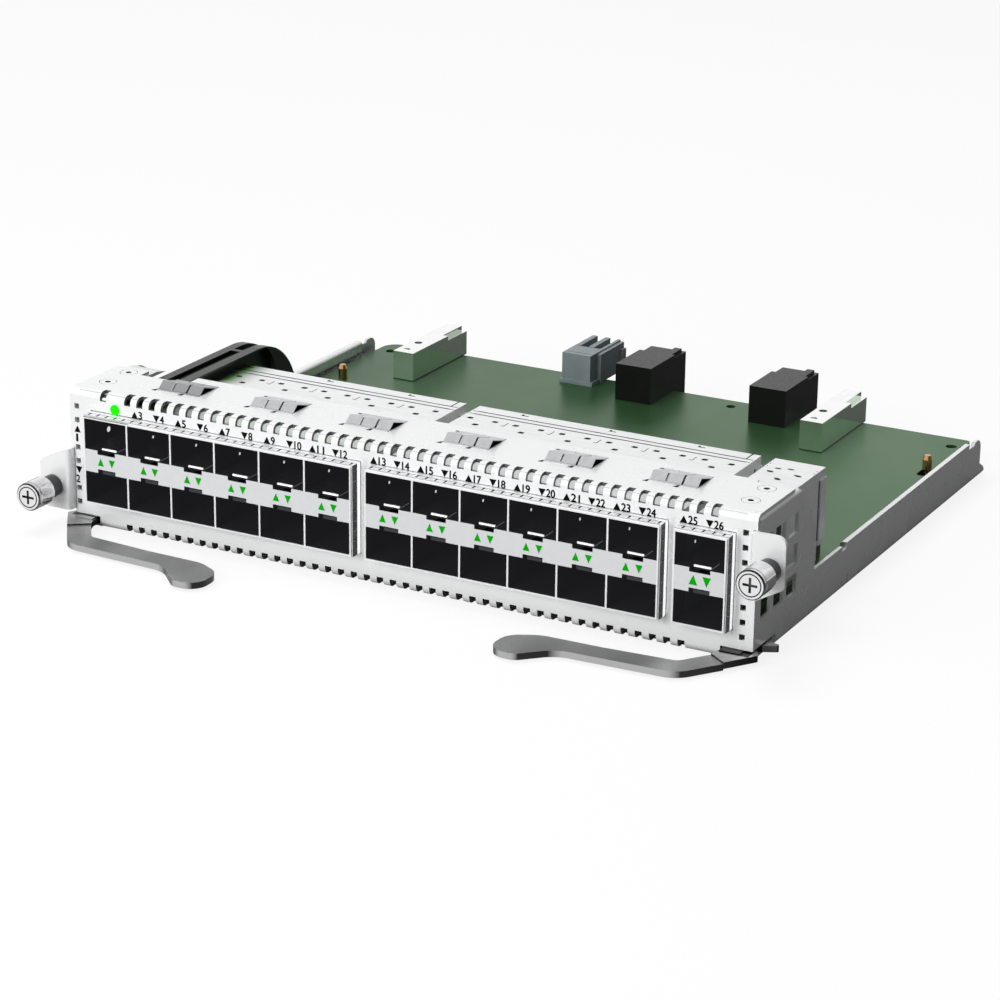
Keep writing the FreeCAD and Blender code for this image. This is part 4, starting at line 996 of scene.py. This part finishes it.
class LINECARD_OT_board(bpy.types.Operator):
    """Finishes the circuit board and what stands on it"""

    bl_idname = "linecard.board"
    bl_label = "Circuit board"

    def execute(self, context):
        colours = context.scene.line_card_colours
        give(solder_mask(colours), "main_board")
        give(plated_steel("standoff_plate", colours.plate).material, "board_standoffs", "board_screws")
        give(turned_metal("brass", colours.brass, gloss=0.25).material, "locating_pins")
        give(milled_guide(colours), "guide_block_left", "guide_block_right")
        black = moulded_plastic("black_plastic", colours.black, gloss=0.34)
        black.set(Specular_IOR_Level=0.3)
        give(black.material, "signal_connector_left", "signal_connector_right")
        give(moulded_plastic("arch_plastic", colours.black, gloss=0.34).material, "light_pipe_frame")
        give(moulded_plastic("grey_plastic", colours.grey).material, "power_connector")
        lens_back = PANEL_FACE + LENS_BACK * MM
        lens = glowing_pipe("status_lamp", colours.status, colours.pipe_side, glow=0.15, front=lens_back)
        give(lens, "status_light_pipe")
        return {"FINISHED"}


def drawn_number(text, left, base, sizes):
    """A printed number as a thin mesh on the panel's face."""
    curve = bpy.data.curves.new("number", "FONT")
    curve.body = text
    curve.size = 1.0
    curve.extrude = 0.5
    holder = bpy.data.objects.new("number", curve)
    mesh = bpy.data.meshes.new_from_object(holder)
    low = Vector(map(min, *[v.co for v in mesh.vertices]))
    high = Vector(map(max, *[v.co for v in mesh.vertices]))
    narrow = sizes.lone_one if text == "1" else sizes.leading_one if text[0] == "1" else 0.0
    wide = sizes.number_width * len(text) - sizes.digit_gap - narrow
    scale = Vector((wide / (high.x - low.x), sizes.number_height / (high.y - low.y), sizes.ink_thickness * 2))
    mesh.transform(Matrix.Translation((-low.x, -low.y, 0)))
    mesh.transform(Matrix.Diagonal((*scale, 1)))
    mesh.transform(Matrix.Rotation(math.radians(90), 4, "X"))
    mesh.transform(Matrix.Translation(row_point(left, 0, base) + Vector((narrow * 0.7, 0, 0))))
    bpy.data.objects.remove(holder)
    bpy.data.curves.remove(curve)
    return mesh


def drawn_triangle(middle, base, points_up, sizes):
    """A printed triangle as a thin mesh on the panel's face."""
    shape = bmesh.new()
    bmesh.ops.create_cone(shape, cap_ends=True, segments=3, radius1=1, radius2=1, depth=1)
    bmesh.ops.rotate(shape, verts=shape.verts, matrix=Matrix.Rotation(math.radians(90), 3, "X"))
    low_z = min(v.co.z for v in shape.verts)
    high_z = max(v.co.z for v in shape.verts)
    wide = max(v.co.x for v in shape.verts) - min(v.co.x for v in shape.verts)
    bmesh.ops.translate(shape, verts=shape.verts, vec=(0, 0, -(low_z + high_z) / 2))
    high = sizes.triangle_height * (1 if points_up else -1)
    scale = (sizes.triangle_side / wide, sizes.ink_thickness * 2, high / (high_z - low_z))
    bmesh.ops.scale(shape, verts=shape.verts, vec=scale)
    centre = row_point(middle, 0, base) + Vector((0, 0, sizes.triangle_height / 2))
    bmesh.ops.translate(shape, verts=shape.verts, vec=centre)
    bmesh.ops.recalc_face_normals(shape, faces=shape.faces)
    return shape


def port_labels():
    """Number, triangle's middle and base, and the digits' left and base, in millimetres on the panel."""
    labels = list(SIDE_LABELS)
    for cage in CAGES:
        columns = COLUMNS[cage] - (1 if cage == 1 else 0)
        for k in range(columns):
            for offset in (0.0, LABEL_PAIR):
                middle = LABEL_FIRSTS[cage] + LABEL_PITCH * k + offset
                labels.append((len(labels) + 1, middle, LABEL_BASE, middle + DIGITS_AFTER, LABEL_BASE))
    return labels


class LINECARD_OT_printing(bpy.types.Operator):
    """Prints the port numbers and the triangles beside them"""

    bl_idname = "linecard.printing"
    bl_label = "Port numbers"

    def execute(self, context):
        sizes = context.scene.line_card_sizes
        ink = printed_ink("printed_ink", context.scene.line_card_colours.ink)
        numbers = bmesh.new()
        triangles = bmesh.new()
        for number, middle, low, left, base in port_labels():
            mesh = drawn_number(str(number), left, base, sizes)
            for across, up in ((0, 0), (1, 0), (-1, 0), (0, 1), (0, -1)):
                step = Vector((across, 0, up)) * sizes.stroke
                mesh.transform(Matrix.Translation(step))
                numbers.from_mesh(mesh)
                mesh.transform(Matrix.Translation(-step))
            bpy.data.meshes.remove(mesh)
            single = drawn_triangle(middle, low, number % 2 == 1, sizes)
            carrier = bpy.data.meshes.new("triangle")
            single.to_mesh(carrier)
            single.free()
            triangles.from_mesh(carrier)
            bpy.data.meshes.remove(carrier)
        new_piece("port_numbers", numbers, ink)
        new_piece("port_triangles", triangles, ink)
        return {"FINISHED"}


def camera_matrix(studio):
    """Where the camera stands and how it is turned."""
    a, e, r = studio.azimuth, studio.elevation, studio.roll
    ahead = Vector((-math.sin(a) * math.cos(e), math.cos(a) * math.cos(e), -math.sin(e)))
    level = Vector((math.cos(a), math.sin(a), 0))
    upright = level.cross(ahead)
    right = level * math.cos(r) + upright * math.sin(r)
    up = upright * math.cos(r) - level * math.sin(r)
    turn = Matrix((right, up, -ahead)).transposed().to_4x4()
    return Matrix.Translation(studio.eye) @ turn


def soft_lamp(name, place, power):
    """A large disc lamp that points at the card and isn't seen in reflections."""
    light = bpy.data.lights.new(name, "AREA")
    light.shape = "DISK"
    light.size = LAMP_SIZE
    light.energy = power
    lamp = bpy.data.objects.new(name, light)
    lamp.location = place
    lamp.rotation_euler = (-Vector(place)).to_track_quat("-Z", "Y").to_euler()
    lamp.visible_glossy = False
    bpy.context.scene.collection.objects.link(lamp)


def combined(tree, operation, first, second):
    node = tree.nodes.new("ShaderNodeMath")
    node.operation = operation
    tree.links.new(first, node.inputs[0])
    tree.links.new(second, node.inputs[1])
    return node.outputs[0]


def ramp(tree, value, span, to_low, to_high):
    """Number that runs between two values over a span."""
    node = tree.nodes.new("ShaderNodeMapRange")
    for index, number in enumerate((*span, to_low, to_high), start=1):
        node.inputs[index].default_value = number
    tree.links.new(value, node.inputs[0])
    return node.outputs[0]


def blended(tree, factor, first, second):
    """Number between a value and a socket."""
    node = tree.nodes.new("ShaderNodeMix")
    node.inputs[2].default_value = first
    tree.links.new(factor, node.inputs[0])
    tree.links.new(second, node.inputs[3])
    return node.outputs[0]


def seen_directly(tree):
    """1 for what the camera, a mirror or clear glass shows."""
    path = tree.nodes.new("ShaderNodeLightPath")
    total = path.outputs["Is Camera Ray"]
    for name in ("Is Glossy Ray", "Is Transmission Ray"):
        total = combined(tree, "MAXIMUM", total, path.outputs[name])
    return total


def split_place(tree, place):
    node = tree.nodes.new("ShaderNodeSeparateXYZ")
    tree.links.new(place, node.inputs[0])
    return node.outputs


def white_world(studio):
    """White all round, with a grey ceiling and a dark right-hand side in reflections."""
    world = bpy.data.worlds.new("studio")
    world.use_nodes = True
    tree = world.node_tree
    background = tree.nodes["Background"]
    background.inputs["Color"].default_value = (1, 1, 1, 1)
    axes = split_place(tree, tree.nodes.new("ShaderNodeTexCoord").outputs["Generated"])
    ceiling = ramp(tree, axes[2], CEILING_RISE, 1.0, studio.zenith)
    side = ramp(tree, axes[0], DARK_SIDE_TURN, 1.0, studio.dark_side)
    direct = tree.nodes.new("ShaderNodeLightPath").outputs["Is Camera Ray"]
    shown = combined(tree, "MAXIMUM", combined(tree, "MULTIPLY", ceiling, side), direct)
    strength = blended(tree, seen_directly(tree), studio.world_light, shown)
    tree.links.new(strength, background.inputs["Strength"])
    bpy.context.scene.world = world


def floor_material(studio):
    """Pale floor, white to the camera but for the card's shadow; a mirror shows it dark beside the card."""
    material = bpy.data.materials.new("pale_floor")
    material.use_nodes = True
    tree = material.node_tree
    surface = tree.nodes["Principled BSDF"]
    noise = tree.nodes.new("ShaderNodeTexNoise")
    noise.inputs["Scale"].default_value = 40
    mix = tree.nodes.new("ShaderNodeMix")
    mix.data_type = "RGBA"
    mix.inputs[6].default_value = (*shade(studio.floor_colour, 0.99), 1)
    mix.inputs[7].default_value = (*shade(studio.floor_colour, 1.01), 1)
    tree.links.new(noise.outputs["Fac"], mix.inputs[0])
    tree.links.new(mix.outputs[2], surface.inputs["Base Color"])
    surface.inputs["Roughness"].default_value = 1.0
    surface.inputs["Specular IOR Level"].default_value = 0.0
    surface.inputs["Emission Color"].default_value = (1, 1, 1, 1)
    place = tree.nodes.new("ShaderNodeTexCoord").outputs["Object"]
    axes = split_place(tree, place)
    length = tree.nodes.new("ShaderNodeVectorMath")
    length.operation = "LENGTH"
    tree.links.new(place, length.inputs[0])
    far = ramp(tree, length.outputs["Value"], FLOOR_FAR, 0.0, 1.0)
    front = ramp(tree, axes[1], FLOOR_FRONT, 1.0, 0.0)
    side = ramp(tree, axes[0], FLOOR_SIDE, 1.0, 0.0)
    near = combined(tree, "MULTIPLY", front, side)
    direct = tree.nodes.new("ShaderNodeLightPath").outputs["Is Camera Ray"]
    shown = combined(tree, "MAXIMUM", combined(tree, "MAXIMUM", far, near), direct)
    lifted = combined(tree, "MULTIPLY", seen_directly(tree), shown)
    strength = ramp(tree, lifted, (0.0, 1.0), 0.0, studio.floor_white)
    tree.links.new(strength, surface.inputs["Emission Strength"])
    return material


def pale_floor(studio):
    """A wide floor just under the card."""
    shape = bmesh.new()
    bmesh.ops.create_grid(shape, x_segments=1, y_segments=1, size=FLOOR_HALF_SIZE)
    bmesh.ops.translate(shape, verts=shape.verts, vec=(0, 0, -FLOOR_DROP))
    mesh = bpy.data.meshes.new("floor")
    shape.to_mesh(mesh)
    shape.free()
    mesh.materials.append(floor_material(studio))
    floor = bpy.data.objects.new("floor", mesh)
    bpy.context.scene.collection.objects.link(floor)


def main_camera(studio):
    camera = bpy.data.cameras.new("camera")
    camera.sensor_width = SENSOR_WIDTH
    camera.lens = studio.lens
    camera.clip_end = VIEW_END
    holder = bpy.data.objects.new("camera", camera)
    holder.matrix_world = camera_matrix(studio)
    bpy.context.scene.collection.objects.link(holder)
    bpy.context.scene.camera = holder


class LINECARD_OT_stage(bpy.types.Operator):
    """Sets the floor, the lamps, the backdrop's white and the camera"""

    bl_idname = "linecard.stage"
    bl_label = "Studio"

    def execute(self, context):
        studio = context.scene.line_card_studio
        pale_floor(studio)
        soft_lamp("front", FRONT_LAMP_PLACE, studio.front_power)
        soft_lamp("top", TOP_LAMP_PLACE, studio.top_power)
        white_world(studio)
        main_camera(studio)
        context.scene.view_settings.view_transform = "Standard"
        return {"FINISHED"}


class LINECARD_PT_sidebar(bpy.types.Panel):
    """Lists the steps that dress the line card"""

    bl_idname = "LINECARD_PT_sidebar"
    bl_label = "Line card"
    bl_space_type = "VIEW_3D"
    bl_region_type = "UI"
    bl_category = "Line card"

    def draw(self, context):
        for step in STEPS:
            self.layout.operator(step.bl_idname)
        for group in GROUPS:
            values = getattr(context.scene, group)
            box = self.layout.box()
            for name in values.__annotations__:
                box.prop(values, name)


STEPS = (
    LINECARD_OT_sheet_metal,
    LINECARD_OT_cages,
    LINECARD_OT_cage_marks,
    LINECARD_OT_collars,
    LINECARD_OT_levers,
    LINECARD_OT_board,
    LINECARD_OT_printing,
    LINECARD_OT_stage,
)
GROUPS = {
    "line_card_colours": LineCardColours,
    "line_card_sizes": LineCardSizes,
    "line_card_studio": LineCardStudio,
}


def register():
    for cls in (*GROUPS.values(), *STEPS, LINECARD_PT_sidebar):
        bpy.utils.register_class(cls)
    for name, group in GROUPS.items():
        setattr(bpy.types.Scene, name, bpy.props.PointerProperty(type=group))


def unregister():
    for name in GROUPS:
        delattr(bpy.types.Scene, name)
    for cls in (LINECARD_PT_sidebar, *reversed(STEPS), *GROUPS.values()):
        bpy.utils.unregister_class(cls)


def main():
    register()
    bpy.ops.linecard.sheet_metal()
    bpy.ops.linecard.cages()
    bpy.ops.linecard.cage_marks()
    bpy.ops.linecard.collars()
    bpy.ops.linecard.levers()
    bpy.ops.linecard.board()
    bpy.ops.linecard.printing()
    bpy.ops.linecard.stage()


if __name__ == "__main__":
    main()
